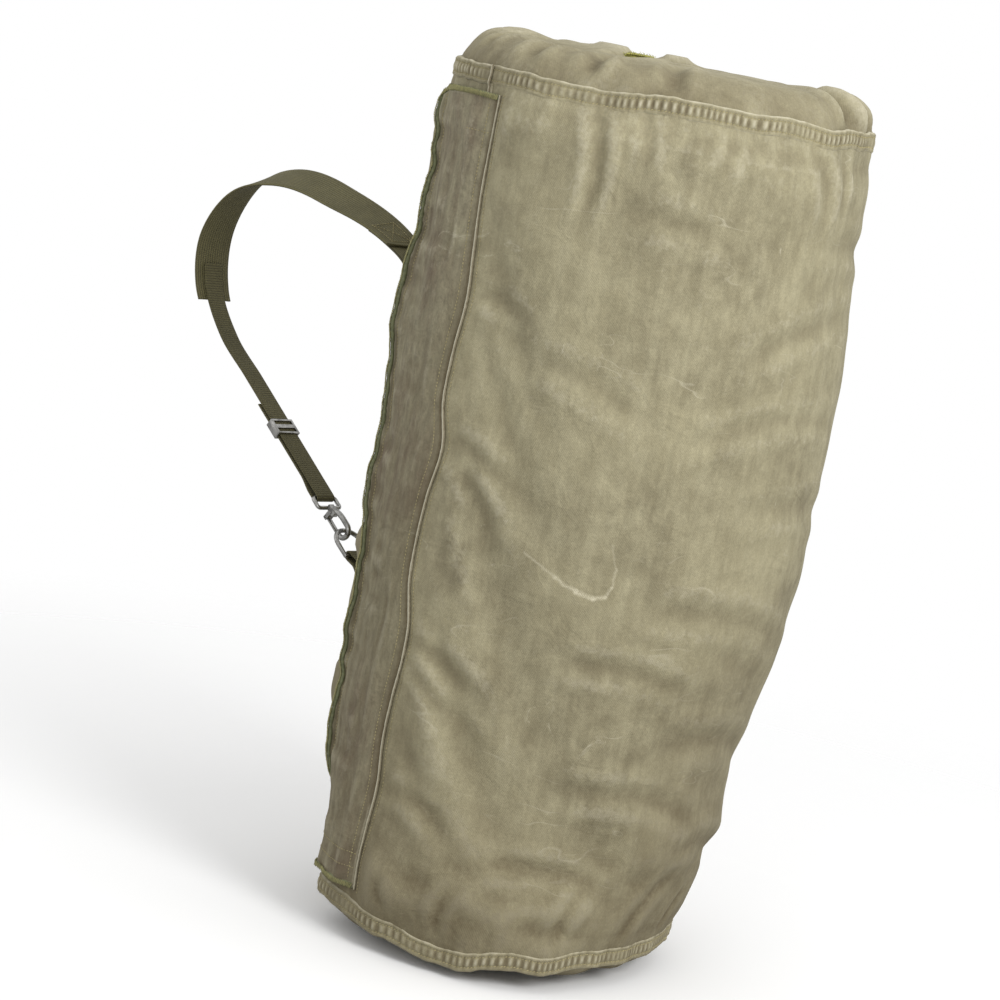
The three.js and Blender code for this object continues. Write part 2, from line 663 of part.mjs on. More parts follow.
// The webbing loop that holds the ring: up the bag, over the ring's bar and back down over itself.
function ringChape() {
  const fold = RING_WIRE + GAP + STRAP_THICKNESS / 2 + 0.2;
  const beside = (sign, back) => ({
    at: RING_BAR.clone().addScaledVector(ABOVE_PULL, sign * fold).addScaledVector(PULL, -back),
    turn: back / 26,
    tilt: 0,
  });
  const outerDepth = SEWN_DEPTH + STRAP_THICKNESS + GAP;
  const up = route([
    sewnOn(SEWN_DEPTH, CHAPE_BOTTOM_Z),
    sewnOn(SEWN_DEPTH + 0.4, CHAPE_BOTTOM_Z + 20),
    sewnOn(SEWN_DEPTH + 1.6, RING_BAR_Z - 24, 0.9),
    beside(1, 12),
    beside(1, 0),
  ], 0, 1, 14);
  const down = route([
    beside(-1, 0),
    beside(-1, 12),
    sewnOn(outerDepth + 2, RING_BAR_Z - 30, 0.9),
    sewnOn(outerDepth, CHAPE_BOTTOM_Z + 14),
    sewnOn(outerDepth, CHAPE_BOTTOM_Z),
  ], 0, 1, 14);
  const bends = 8;
  const points = [...up.points];
  const sides = [...up.sides];
  for (let i = 1; i < bends; i += 1) {
    const angle = (i / bends) * Math.PI;
    points.push(
      RING_BAR.clone()
        .addScaledVector(ABOVE_PULL, fold * Math.cos(angle))
        .addScaledVector(PULL, fold * Math.sin(angle)),
    );
    sides.push(new THREE.Vector3(0, 1, 0));
  }
  points.push(...down.points);
  sides.push(...down.sides);
  return sweep(points, sides, strip(CHAPE_WIDTH, STRAP_THICKNESS));
}

// ---- The snap hook, in a frame whose origin is the eye's bar and whose +X runs to the hook's bowl ----
// +Z is the side that the gate is on.
function snapHook() {
  const eye = [[0, -1, 3], [0, 1, 2], [EYE_LENGTH, 1, 1], [EYE_LENGTH, -1, 0]].flatMap(
    ([u, side, quarter]) => Array.from({ length: 4 }, (_, i) => {
      const angle = ((quarter - i / 3) * Math.PI) / 2;
      return new THREE.Vector3(
        u + (u ? -EYE_BEND : EYE_BEND) + EYE_BEND * Math.cos(angle),
        side * (EYE_HALF_WIDTH - EYE_BEND) + EYE_BEND * Math.sin(angle),
        0,
      );
    }),
  );
  const frame = sweep(eye, new THREE.Vector3(0, 0, 1), round(EYE_WIRE, 10), true);

  const shank = block(
    [EYE_LENGTH - 1, -SHANK_HALF_WIDTH, -SHANK_HALF_HEIGHT],
    [EYE_LENGTH + SHANK_LENGTH, SHANK_HALF_WIDTH, 1],
  );
  const spine = new THREE.Path();
  spine.moveTo(EYE_LENGTH + 4, -2);
  spine.quadraticCurveTo(EYE_LENGTH + SHANK_LENGTH, -HOOK_BOWL_RADIUS, HOOK_BOWL_U - 8, -HOOK_BOWL_RADIUS);
  spine.lineTo(HOOK_BOWL_U, -HOOK_BOWL_RADIUS);
  spine.absarc(HOOK_BOWL_U, 0, HOOK_BOWL_RADIUS, -Math.PI / 2, Math.PI / 2, false);
  spine.lineTo(HOOK_BOWL_U - HOOK_TIP_LENGTH, HOOK_BOWL_RADIUS);
  const path = spine.getPoints(8).map((point) => new THREE.Vector3(point.x, 0, point.y));
  const distinct = path.filter((point, i) => i === 0 || point.distanceTo(path[i - 1]) > 0.2);
  const curve = sweep(distinct, new THREE.Vector3(0, 1, 0), round(HOOK_WIRE, 12));
  const outer = GATE_WIDTH / 2 + GAP;
  const ears = [-1, 1].map((side) => block(
    [GATE_PIVOT_U - GATE_KNUCKLE, Math.min(side * outer, side * (outer + 1.6)), -1],
    [GATE_PIVOT_U + GATE_KNUCKLE, Math.max(side * outer, side * (outer + 1.6)), GATE_PIVOT_V + GATE_KNUCKLE],
  ));
  const bridge = block(
    [GATE_PIVOT_U - GATE_KNUCKLE, -outer - 1.6, -2],
    [GATE_PIVOT_U + GATE_KNUCKLE, outer + 1.6, 1],
  );
  const pinHole = rod(GATE_PIN + GAP, 2 * EYE_HALF_WIDTH).translate(GATE_PIVOT_U, 0, GATE_PIVOT_V);
  return cut(join(frame, shank, curve, bridge, ...ears), pinHole);
}

// The gate turns about its pin, which is its origin, and its end closes against the tip of the hook.
function hookGate() {
  const knuckle = rod(GATE_KNUCKLE, GATE_WIDTH);
  const tongueEnd = HOOK_BOWL_U - HOOK_TIP_LENGTH - GATE_END_GAP - GATE_PIVOT_U;
  const top = HOOK_BOWL_RADIUS - GATE_PIVOT_V + GATE_THICKNESS / 2;
  const tongue = block([0, -GATE_WIDTH / 2, top - GATE_THICKNESS], [tongueEnd, GATE_WIDTH / 2, top]);
  const hole = rod(GATE_PIN + GATE_PIN_PLAY, 2 * GATE_WIDTH);
  return cut(join(knuckle, tongue), hole);
}

function hookAssembly() {
  const group = new THREE.Group();
  group.position.copy(EYE_BAR);
  group.rotation.y = Math.PI - rad(PULL_ANGLE);
  const pin = piece("gate_pin", rod(GATE_PIN, GATE_WIDTH + 2 * GAP + 3), steel);
  const gate = piece("hook_gate", hookGate(), steel);
  for (const mesh of [pin, gate]) mesh.position.set(GATE_PIVOT_U, 0, GATE_PIVOT_V);
  group.add(piece("snap_hook", snapHook(), steel), pin, gate);
  return group;
}

function shoulderStrap() {
  const group = new THREE.Group();
  group.position.copy(onBag(STRAP_AZIMUTH, BODY_RADIUS, 0));
  group.rotation.z = Math.PI;
  const anchor = route(loopGuides(), 0, ANCHOR_WEB_END);
  group.add(piece(
    "strap_anchor_web",
    sweep(anchor.points, anchor.sides, strip(ANCHOR_WEB_WIDTH, STRAP_THICKNESS)),
    webbing,
  ));
  const shoulder = route(loopGuides(), ANCHOR_WEB_END - STRAP_OVERLAP, STRAP_END);
  group.add(piece(
    "shoulder_strap",
    sweep(shoulder.points, shoulder.sides, strip(STRAP_WIDTH, STRAP_THICKNESS, STRAP_THICKNESS + LAYER_GAP)),
    webbing,
  ));
  group.add(piece("adjusting_webbing", adjustingWebbing(), webbing));
  group.add(piece("d_ring_chape", ringChape(), webbing));

  const slide = piece("strap_adjuster", adjuster(), steel);
  slide.position.copy(EYE_BAR)
    .addScaledVector(PULL, ADJUSTER_AT)
    .addScaledVector(ABOVE_PULL, FOLD_RADIUS - WEB_SPACING / 2);
  slide.rotation.y = -rad(PULL_ANGLE);
  const ring = piece("d_ring", dRing(), steel);
  ring.position.copy(RING_BAR);
  ring.rotation.y = -rad(PULL_ANGLE);
  group.add(slide, ring, hookAssembly());
  return group;
}

function patches() {
  const half = (PATCH_HALF_WIDTH / BODY_RADIUS) * (180 / Math.PI);
  const azimuths = [STRAP_AZIMUTH - half, STRAP_AZIMUTH + half];
  const plate = (heights) => curvedPlate(
    BODY_RADIUS + GAP, BODY_RADIUS + GAP + PATCH_THICKNESS, azimuths, heights,
  );
  const group = new THREE.Group();
  group.add(piece("strap_patch", plate(STRAP_PATCH_Z), canvas));
  group.add(piece("d_ring_patch", plate(RING_PATCH_Z), canvas));
  return group;
}

const bag = new THREE.Group();
bag.add(canvasBody(), zip(), stormFlap(), flapPiping(), closingSeam(), patches(), shoulderStrap());
export default bag;
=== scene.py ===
"""Looks of a large canvas duffel bag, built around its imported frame.

Metres, +Z up. An azimuth is in degrees round from -Y towards +X, and a height is from the floor.
"""

import math

import bmesh
import bpy
import numpy as np
from bpy.props import FloatProperty, FloatVectorProperty, PointerProperty
from mathutils import Matrix, Vector


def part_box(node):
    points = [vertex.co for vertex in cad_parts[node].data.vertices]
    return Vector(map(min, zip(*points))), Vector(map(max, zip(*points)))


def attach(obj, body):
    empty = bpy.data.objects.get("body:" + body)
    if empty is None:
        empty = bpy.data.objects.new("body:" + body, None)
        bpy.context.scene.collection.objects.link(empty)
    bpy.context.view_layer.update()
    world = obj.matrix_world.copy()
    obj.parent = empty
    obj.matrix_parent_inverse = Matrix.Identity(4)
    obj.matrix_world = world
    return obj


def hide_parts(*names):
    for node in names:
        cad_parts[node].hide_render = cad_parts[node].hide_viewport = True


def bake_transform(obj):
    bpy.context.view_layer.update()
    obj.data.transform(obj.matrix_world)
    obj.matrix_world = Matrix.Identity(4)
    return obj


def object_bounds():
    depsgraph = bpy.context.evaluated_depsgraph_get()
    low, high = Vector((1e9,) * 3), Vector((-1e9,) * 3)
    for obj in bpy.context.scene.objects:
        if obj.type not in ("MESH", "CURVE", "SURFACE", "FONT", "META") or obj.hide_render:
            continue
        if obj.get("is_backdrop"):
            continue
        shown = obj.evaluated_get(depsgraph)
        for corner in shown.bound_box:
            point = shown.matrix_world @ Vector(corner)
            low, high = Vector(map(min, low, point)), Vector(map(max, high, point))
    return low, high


bl_info = {
    "name": "Canvas duffel bag",
    "version": (1, 0, 0),
    "blender": (4, 5, 0),
    "location": "3D View > Sidebar > Duffel",
    "description": "Builds a faded canvas duffel bag with a zip, a storm flap and a shoulder strap",
    "category": "Object",
}

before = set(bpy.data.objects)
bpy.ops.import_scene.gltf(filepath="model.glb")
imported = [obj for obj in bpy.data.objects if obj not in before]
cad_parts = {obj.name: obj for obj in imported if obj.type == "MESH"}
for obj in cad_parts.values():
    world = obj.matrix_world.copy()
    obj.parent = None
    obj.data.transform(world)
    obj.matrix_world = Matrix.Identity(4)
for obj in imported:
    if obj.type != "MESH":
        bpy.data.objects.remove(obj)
CAD_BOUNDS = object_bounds()

# ---- Sizes that come from the frame ----
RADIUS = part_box("main_panel")[1].x
BOTTOM_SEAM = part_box("main_panel")[0].z
TOP_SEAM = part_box("main_panel")[1].z
BAG_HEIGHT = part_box("top_panel")[1].z
BAND_HALF = (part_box("top_seam_band")[1].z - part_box("top_seam_band")[0].z) / 2
FLAP_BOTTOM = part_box("flap_edge_binding")[0].z
FLAP_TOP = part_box("flap_edge_binding")[1].z
SLIT = (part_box("zip_bottom_stop")[0].z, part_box("zip_top_stop")[1].z)

# ---- Sizes that the cloth pieces share ----
MM = 0.001
DEG = math.pi / 180
CANVAS = 2 * MM
ZIP_AZIMUTH = -22
SLIT_HALF = math.degrees(math.asin(9 * MM / RADIUS))
FLAP_HINGE = -7
FLAP_EDGE = -38
FLAP_STANDOFF = 8 * MM
HINGE_RADIUS = RADIUS + 2.3 * MM
STRAP_AZIMUTH = -63
PATCH_HALF = 34 * MM
STRAP_PATCH = (548 * MM, 640 * MM)
RING_PATCH = (268 * MM, 336 * MM)

# How the canvas is drawn in where it is slack, as the frame has it.
SLACK = 0.27
SLACK_HEIGHT = 430 * MM
SLACK_FROM_ZIP = (50, 125)
TOP_TUCK = 0.05
TOP_TUCK_HEIGHT = 80 * MM
TOP_TUCK_FROM_ZIP = (30, 60)
CORNER_TUCK = 0.26
CORNER_TUCK_HEIGHT = 195 * MM

# The simulated folds: degrees between columns, rows, frames and the most relief that is kept.
FOLD_STEP = 2.4
FOLD_ROWS = 96
FOLD_FRAMES = 30
FOLD_CAP = 14 * MM

GATHERS = 172  # puckers round a seam band
SEAM_STITCHES = 5.0 * MM  # from the flap's seam
PATCH_STITCHES = 0.86  # where a patch is stitched, as a share of its half width
PULL_ROOM = 4.4 * MM  # how far the flap bulges over the zip's pull
PULL_HEIGHT = 0.822

# How far the flap's seam wanders sideways at each height, in millimetres.
SEAM_WANDER = [
    (40, 0), (88, -2), (113, 0), (163, 5), (208, 1), (250, 3), (294, 8), (323, 8), (370, -3),
    (394, -4), (422, -3), (452, 0), (509, 9), (546, -1), (598, 0), (651, 6), (693, 3), (746, -1),
    (834, 0), (860, 0),
]

# How far the flap's free edge stands off the bag at each height, in millimetres.
EDGE_LIFT = [
    (50, 5), (80, 5), (120, 6), (180, 5), (235, 4), (280, 5), (325, 6), (390, 6), (450, 8),
    (510, 6), (555, 10), (600, 13), (650, 9), (700, 5), (760, 6), (810, 9), (846, 8),
]

# How far the flap's free edge is drawn towards its seam at each height, in millimetres.
EDGE_DRAWN = [
    (40, 2), (100, 5), (180, 9), (230, 10), (290, 6), (330, 8), (370, 13), (410, 11), (450, 4), (520, 0),
    (640, 0), (690, 7), (740, 10), (785, 8), (825, 2), (860, 2),
]

# Creases in the tube: (azimuth, height) to (azimuth, height), depth and width in millimetres.
CREASES = [
    ((22, 856), (24, 745), 5.5, 7),
    ((34, 858), (37, 800), 3.0, 6),
    ((58, 858), (56, 810), 3.0, 6),
    ((84, 860), (90, 770), 6.0, 8),
    ((96, 860), (99, 790), 5.0, 7),
    ((-4, 512), (22, 470), 3.5, 9),
    ((-4, 500), (14, 440), 3.0, 7),
    ((-3, 655), (16, 640), 2.5, 7),
    ((-4, 312), (24, 262), 3.5, 9),
    ((-4, 296), (12, 238), 3.0, 7),
    ((-3, 165), (18, 140), 2.5, 8),
    ((70, 640), (128, 690), 4.0, 10),
    ((62, 560), (118, 585), 3.5, 9),
    ((85, 500), (140, 470), 4.0, 10),
    ((60, 395), (120, 345), 5.0, 11),
    ((40, 330), (84, 300), 3.5, 9),
    ((75, 262), (135, 215), 6.0, 12),
    ((50, 205), (100, 165), 5.0, 10),
    ((88, 150), (140, 110), 6.0, 10),
    ((30, 120), (72, 92), 3.5, 8),
    ((52, 60), (60, 110), 4.0, 7),
    ((76, 55), (92, 120), 4.5, 8),
    ((100, 50), (112, 100), 4.0, 7),
    ((20, 50), (24, 92), 3.0, 6),
    ((4, 50), (2, 82), 2.5, 6),
    ((38, 760), (70, 735), 3.0, 10),
    ((18, 610), (52, 560), 3.0, 11),
    ((100, 760), (150, 720), 4.5, 10),
    ((150, 640), (215, 600), 5.0, 12),
    ((160, 520), (230, 560), 5.0, 12),
    ((165, 420), (235, 380), 6.0, 12),
    ((150, 320), (220, 260), 6.0, 12),
    ((170, 200), (240, 170), 6.0, 12),
    ((200, 760), (260, 720), 5.0, 10),
    ((-80, 470), (-50, 440), 3.0, 9),
    ((-88, 200), (-54, 180), 4.0, 9),
    ((-85, 110), (-56, 96), 4.0, 8),
    ((-66, 856), (-62, 790), 4.0, 7),
    ((-96, 700), (-74, 660), 4.0, 9),
]

# Creases in the upper end panel: plan (x, y) to (x, y), depth and width in millimetres.
TOP_CREASES = [
    ((-110, 60), (-30, -22), 13, 15),
    ((-30, -22), (-14, -80), 7, 12),
    ((-30, -10), (30, 120), 9, 16),
    ((196, 92), (110, 60), 12, 9),
    ((205, 40), (120, 46), 7, 8),
    ((150, 150), (90, 90), 7, 9),
    ((60, -196), (40, -120), 6, 8),
    ((130, -150), (88, -92), 5, 8),
    ((-10, -205), (-6, -140), 5, 8),
    ((-90, -180), (-60, -120), 6, 8),
    ((-170, -110), (-110, -70), 6, 9),
    ((-200, 30), (-130, 20), 6, 9),
]


# Pale strokes rubbed into the tube: (azimuth, height) to (azimuth, height), width in millimetres, strength.
RUBBED_STROKES = [
    ((25.3, 427), (34.3, 411), 2.2, 0.40),
    ((34.3, 411), (40.0, 402), 3.2, 0.60),
    ((40.0, 402), (44.6, 398), 3.4, 0.70),
    ((44.6, 398), (47.4, 402), 3.0, 0.60),
    ((47.4, 402), (48.6, 412), 2.4, 0.45),
    ((48.6, 412), (48.7, 430), 2.0, 0.35),
    ((48.7, 430), (46.8, 452), 1.6, 0.25),
]


# ---- Numbers ----
def smoothstep(low, high, value):
    share = np.clip((value - low) / (high - low), 0, 1)
    return share * share * (3 - 2 * share)


def turn_between(azimuth, other):
    """How far one azimuth is from another, from -180 to 180 degrees."""
    return (azimuth - other + 180) % 360 - 180


def noise_field(points, size, seed):
    """Smooth noise from -1 to 1 at points in space. Its cells have that size, one number or three."""
    lattice = np.random.default_rng(seed).uniform(-1, 1, (32, 32, 32))
    place = np.asarray(points, float) / size
    cell = np.floor(place).astype(int)
    share = place - cell
    share = share**3 * (share * (6 * share - 15) + 10)
    total = 0
    for corner in np.ndindex(2, 2, 2):
        index = (cell + corner) % 32
        weight = np.prod(np.where(corner, share, 1 - share), axis=-1)
        total = total + weight * lattice[index[..., 0], index[..., 1], index[..., 2]]
    return total


def through(guides, value):
    """A smooth line through given (place, amount) guides in millimetres, in metres."""
    place, amount = (np.array(column, float) * MM for column in zip(*guides))
    slope = np.gradient(amount, place)
    value = np.clip(value, place[0], place[-1])
    i = np.clip(np.searchsorted(place, value, side="right") - 1, 0, len(place) - 2)
    width = place[i + 1] - place[i]
    t = (value - place[i]) / width
    return (
        (2 * t**3 - 3 * t**2 + 1) * amount[i]
        + (t**3 - 2 * t**2 + t) * width * slope[i]
        + (3 * t**2 - 2 * t**3) * amount[i + 1]
        + (t**3 - t**2) * width * slope[i + 1]
    )


def on_bag(azimuth, radius, z):
    azimuth, radius, z = np.broadcast_arrays(azimuth, radius, z)
    turn = azimuth * DEG
    return np.stack([radius * np.sin(turn), -radius * np.cos(turn), z], -1)


def unit(vectors):
    return vectors / np.maximum(np.linalg.norm(vectors, axis=-1, keepdims=True), 1e-9)


# ---- The shape of the canvas ----
def drawn_in(azimuth, z):
    """How far the slack canvas is drawn in, as a share of the radius."""
    from_zip = np.abs(turn_between(azimuth, ZIP_AZIMUTH))
    low = 1 - smoothstep(BOTTOM_SEAM, SLACK_HEIGHT, z)
    high = smoothstep(TOP_SEAM - TOP_TUCK_HEIGHT, TOP_SEAM, z)
    slack = SLACK * low * smoothstep(*SLACK_FROM_ZIP, from_zip)
    return slack + TOP_TUCK * high * smoothstep(*TOP_TUCK_FROM_ZIP, from_zip)


def corner_tuck(azimuth, z):
    """How far the lower corner beside the flap is drawn in, as a share of the radius."""
    window = smoothstep(26, 42, -azimuth) * (1 - smoothstep(80, 130, -azimuth))
    return CORNER_TUCK * window * (1 - smoothstep(BOTTOM_SEAM, CORNER_TUCK_HEIGHT, z))


def held_flat(azimuth, z):
    """1 where the zip or a patch holds the canvas in place, falling to 0 beside them."""
    edge = -40 + 12 * (1 - smoothstep(0.08, CORNER_TUCK_HEIGHT, z))
    zip_side = smoothstep(edge - 6, edge, azimuth) * (1 - smoothstep(-9, -1, azimuth))
    held = zip_side * smoothstep(0.0, 0.02, z) * (1 - smoothstep(0.85, 0.875, z))
    for low, high in (STRAP_PATCH, RING_PATCH):
        across = 1 - smoothstep(10, 17, np.abs(azimuth - STRAP_AZIMUTH))
        along = smoothstep(low - 0.03, low - 0.004, z) * (1 - smoothstep(high + 0.004, high + 0.03, z))
        held = np.maximum(held, across * along)
    return held


def crease_relief(place, creases, across_scale):
    """Grooves with raised sides along given lines. place is (..., 2), in metres."""
    total = np.zeros(place.shape[:-1])
    for start, end, depth, width in creases:
        start, end = (np.array(p, float) * across_scale for p in (start, end))
        line = end - start
        share = np.clip(((place - start) @ line) / (line @ line), -0.3, 1.3)
        bow = 0.08 * np.linalg.norm(line) * np.sin(share * math.pi)
        side = np.array([-line[1], line[0]]) / np.linalg.norm(line)
        apart = (place - start) @ side - bow
        apart_in = np.linalg.norm(place - start - share[..., None] * line - (bow[..., None] * side), axis=-1)
        apart_in = np.where(np.abs(apart) < apart_in, apart_in, np.abs(apart))
        width = width * MM
        fade = smoothstep(-0.18, 0.2, share) * (1 - smoothstep(0.55, 1.2, share))
        groove = -np.exp(-((apart_in / width) ** 2)) + 0.75 * np.exp(-(((apart_in - 2.1 * width) / width) ** 2))
        total += depth * MM * fade * groove
    return total


def seam_relief(azimuth, from_seam, folds, points):
    """The canvas is nipped in at a seam, puffs out beside it and gathers into short folds."""
    nip = -0.0030 * np.exp(-((from_seam / 0.010) ** 2))
    puff = 0.0050 * np.exp(-(((from_seam - 0.040) / 0.028) ** 2))
    flat = points * np.array([1, 1, 0.12])
    short = noise_field(flat, 0.013, 11) * 0.0016 * np.exp(-from_seam / 0.020)
    middle = noise_field(flat, 0.028, 12) * 0.0030 * np.exp(-from_seam / 0.050)
    long = noise_field(flat, 0.060, 13) * 0.0045 * np.exp(-from_seam / 0.110)
    return nip + puff + folds * (short + middle + long)


FOLDS = {}


def grid_value(azimuth, z):
    """The simulated folds at a place on the tube, smoothly between their grid's points."""
    field = FOLDS["relief"]
    rows, columns = field.shape
    u = (azimuth + 180) % 360 / 360 * columns
    v = np.clip((z - BOTTOM_SEAM) / (TOP_SEAM - BOTTOM_SEAM), 0, 1) * (rows - 1)
    column, row = np.floor(u).astype(int), np.minimum(np.floor(v).astype(int), rows - 2)

    def weights(t):
        return (
            -0.5 * t + t**2 - 0.5 * t**3,
            1 - 2.5 * t**2 + 1.5 * t**3,
            0.5 * t + 2 * t**2 - 1.5 * t**3,
            -0.5 * t**2 + 0.5 * t**3,
        )

    total = 0
    for i, down in enumerate(weights(v - row)):
        line = np.clip(row + i - 1, 0, rows - 1)
        for j, over in enumerate(weights(u - column)):
            total = total + down * over * field[line, (column + j - 1) % columns]
    return total


def simulate_folds():
    """Lets the slack canvas settle as cloth, held by its seams, the zip and the patches."""
    azimuths = np.arange(-180, 180, FOLD_STEP)
    heights = np.linspace(BOTTOM_SEAM, TOP_SEAM, FOLD_ROWS)
    azimuth, z = np.meshgrid(azimuths, heights)
    base = RADIUS * (1 - drawn_in(azimuth, z) - corner_tuck(azimuth, z))
    start = base + noise_field(on_bag(azimuth, base, z), 0.05, 7) * 0.0015
    faces = grid_faces(*azimuth.shape, round_columns=True)
    made = mesh_object("settling_canvas", on_bag(azimuth, start, z), faces)
    held = np.maximum(held_flat(azimuth, z), (z < BOTTOM_SEAM + 1e-6) | (z > TOP_SEAM - 1e-6))
    pins = made.vertex_groups.new(name="held")
    for index, weight in enumerate(held.ravel()):
        if weight > 0.02:
            pins.add([index], float(min(weight, 1)), "REPLACE")
    cloth = made.modifiers.new("Cloth", "CLOTH")
    settings = cloth.settings
    settings.quality = 6
    settings.mass = 0.3
    settings.tension_stiffness = settings.compression_stiffness = 25
    settings.shear_stiffness = 10
    settings.bending_stiffness = 0.6
    settings.air_damping = 3
    settings.vertex_group_mass = "held"
    settings.shrink_min = -0.03
    settings.use_pressure = True
    settings.uniform_pressure_force = 2.5
    settings.effector_weights.gravity = 0.3
    cloth.collision_settings.use_collision = False
    cloth.point_cache.frame_end = FOLD_FRAMES
    scene = bpy.context.scene
    for number in range(1, FOLD_FRAMES + 1):
        scene.frame_set(number)
    graph = bpy.context.evaluated_depsgraph_get()
    mesh = made.evaluated_get(graph).to_mesh()
    place = np.zeros(len(mesh.vertices) * 3)
    mesh.vertices.foreach_get("co", place)
    place = place.reshape(*azimuth.shape, 3)
    made.evaluated_get(graph).to_mesh_clear()
    bpy.data.objects.remove(made)
    scene.frame_set(1)
    relief = np.hypot(place[..., 0], place[..., 1]) - base
    relief = np.clip(relief, -FOLD_CAP, FOLD_CAP)
    relief = 0.75 * (relief - 0.5 * np.median(relief))
    for _ in range(2):
        beside = np.roll(relief, 1, 1) + np.roll(relief, -1, 1)
        above = np.vstack([relief[1:], relief[-1:]]) + np.vstack([relief[:1], relief[:-1]])
        relief = (2 * relief + beside + above) / 6
    relief *= 1 - 0.75 * smoothstep(0.70, 0.80, z)
    low_side = (1 - smoothstep(0.09, 0.15, z)) * smoothstep(50, 70, azimuth)
    FOLDS["relief"] = np.where(relief < 0, relief * (1 - 0.7 * low_side), relief)


def hand_shaped(azimuth, z):
    """Broad swells and pinches of the filled bag, in metres."""
    pinch = smoothstep(40, 50, -azimuth) * (1 - smoothstep(80, 120, -azimuth))
    swell = smoothstep(55, 85, azimuth) * (1 - smoothstep(150, 190, azimuth))
    shape = 0.019 * swell * np.exp(-(((z - 0.135) / 0.06) ** 2))
    shape = shape - 0.008 * pinch * np.exp(-(((z - 0.51) / 0.05) ** 2))
    high_side = smoothstep(85, 110, azimuth) * (1 - smoothstep(150, 190, azimuth)) * smoothstep(0.60, 0.75, z)
    low_bulge = smoothstep(0.16, 0.22, z) * (1 - smoothstep(0.37, 0.44, z))
    high_bulge = smoothstep(0.66, 0.72, z) * (1 - smoothstep(0.79, 0.83, z))
    beside_flap = np.exp(-(((azimuth + 53) / 9) ** 2)) * (low_bulge + high_bulge)
    return shape - 0.006 * high_side + 0.012 * beside_flap


def canvas_radius(azimuth, z):
    """The outside radius of the tube, with all of its folds."""
    azimuth, z = np.broadcast_arrays(np.asarray(azimuth, float), np.asarray(z, float))
    azimuth = turn_between(azimuth, 0)
    base = RADIUS * (1 - drawn_in(azimuth, z) - corner_tuck(azimuth, z))
    points = on_bag(azimuth, base, z)
    settings = bpy.context.scene.duffel_canvas
    from_seam = np.minimum(np.abs(z - BOTTOM_SEAM), np.abs(TOP_SEAM - z))
    seams = seam_relief(azimuth, from_seam, settings.seam_folds, points)
    soft = noise_field(points * [1, 1, 0.7], 0.150, 1) * 0.0050 + noise_field(points, 0.070, 2) * 0.0014
    slack = smoothstep(20, 80, np.abs(turn_between(azimuth, ZIP_AZIMUTH)))
    lean = points * [1, 1, 2.6] + np.array([0, 0, 0.25]) * azimuth[..., None] * DEG
    sag = noise_field(lean, 0.110, 3) * 0.0026 * (0.4 + 0.6 * slack)
    crisp = noise_field(points * [1, 1, 0.8], 0.026, 4) * noise_field(points, 0.090, 5) * 0.0014
    place = np.stack([(azimuth % 360 - np.where(azimuth % 360 > 260, 360, 0)) * DEG * RADIUS, z], -1)
    creases = crease_relief(place, CREASES, np.array([DEG * RADIUS, MM]))
    relief = soft + sag + crisp
    if FOLDS:
        relief = relief * 0.6 + grid_value(azimuth, z)
    right_hand = smoothstep(45, 75, azimuth) * (1 - smoothstep(150, 180, azimuth))
    relief = settings.fold_depth * (relief + (0.75 - 0.25 * right_hand) * creases)
    relief = relief + hand_shaped(azimuth, z)
    relief *= smoothstep(0, 0.03, from_seam)
    return base + (seams + relief) * (1 - held_flat(azimuth, z))


def band_shift(azimuth, seam):
    """How far the seam's path wanders up and down."""
    ring = on_bag(azimuth, RADIUS, seam)
    away = smoothstep(14, 26, np.abs(turn_between(np.asarray(azimuth, float), ZIP_AZIMUTH)))
    wander = noise_field(ring, 0.075, 21) * 0.0045 + noise_field(ring, 0.034, 22) * 0.0030
    wander = (0.3 + 0.7 * away) * wander
    sag = 0.013 * np.exp(-((turn_between(np.asarray(azimuth, float), 27) / 30) ** 2)) if seam == BOTTOM_SEAM else 0
    return wander - sag


def tube_point(azimuth, z, lift=0.0):
    """A point on the tube. Its ends follow the wandering seams."""
    azimuth, z = np.broadcast_arrays(np.asarray(azimuth, float), np.asarray(z, float))
    radius = canvas_radius(azimuth, z) + lift
    low = band_shift(azimuth, BOTTOM_SEAM) * (1 - smoothstep(BOTTOM_SEAM, BOTTOM_SEAM + 0.03, z))
    high = band_shift(azimuth, TOP_SEAM) * smoothstep(TOP_SEAM - 0.03, TOP_SEAM, z)
    return on_bag(azimuth, radius, z + low + high)


def seam_azimuth(z):
    return FLAP_HINGE + through(SEAM_WANDER, z) / RADIUS / DEG


# ---- Meshes ----
def grid_faces(rows, columns, round_columns=False, round_rows=False):
    row, column = np.meshgrid(
        np.arange(rows if round_rows else rows - 1),
        np.arange(columns if round_columns else columns - 1),
        indexing="ij",
    )
    after_row, after_column = (row + 1) % rows, (column + 1) % columns
    corners = [
        row * columns + column,
        row * columns + after_column,
        after_row * columns + after_column,
        after_row * columns + column,
    ]
    return np.stack(corners, -1).reshape(-1, 4)


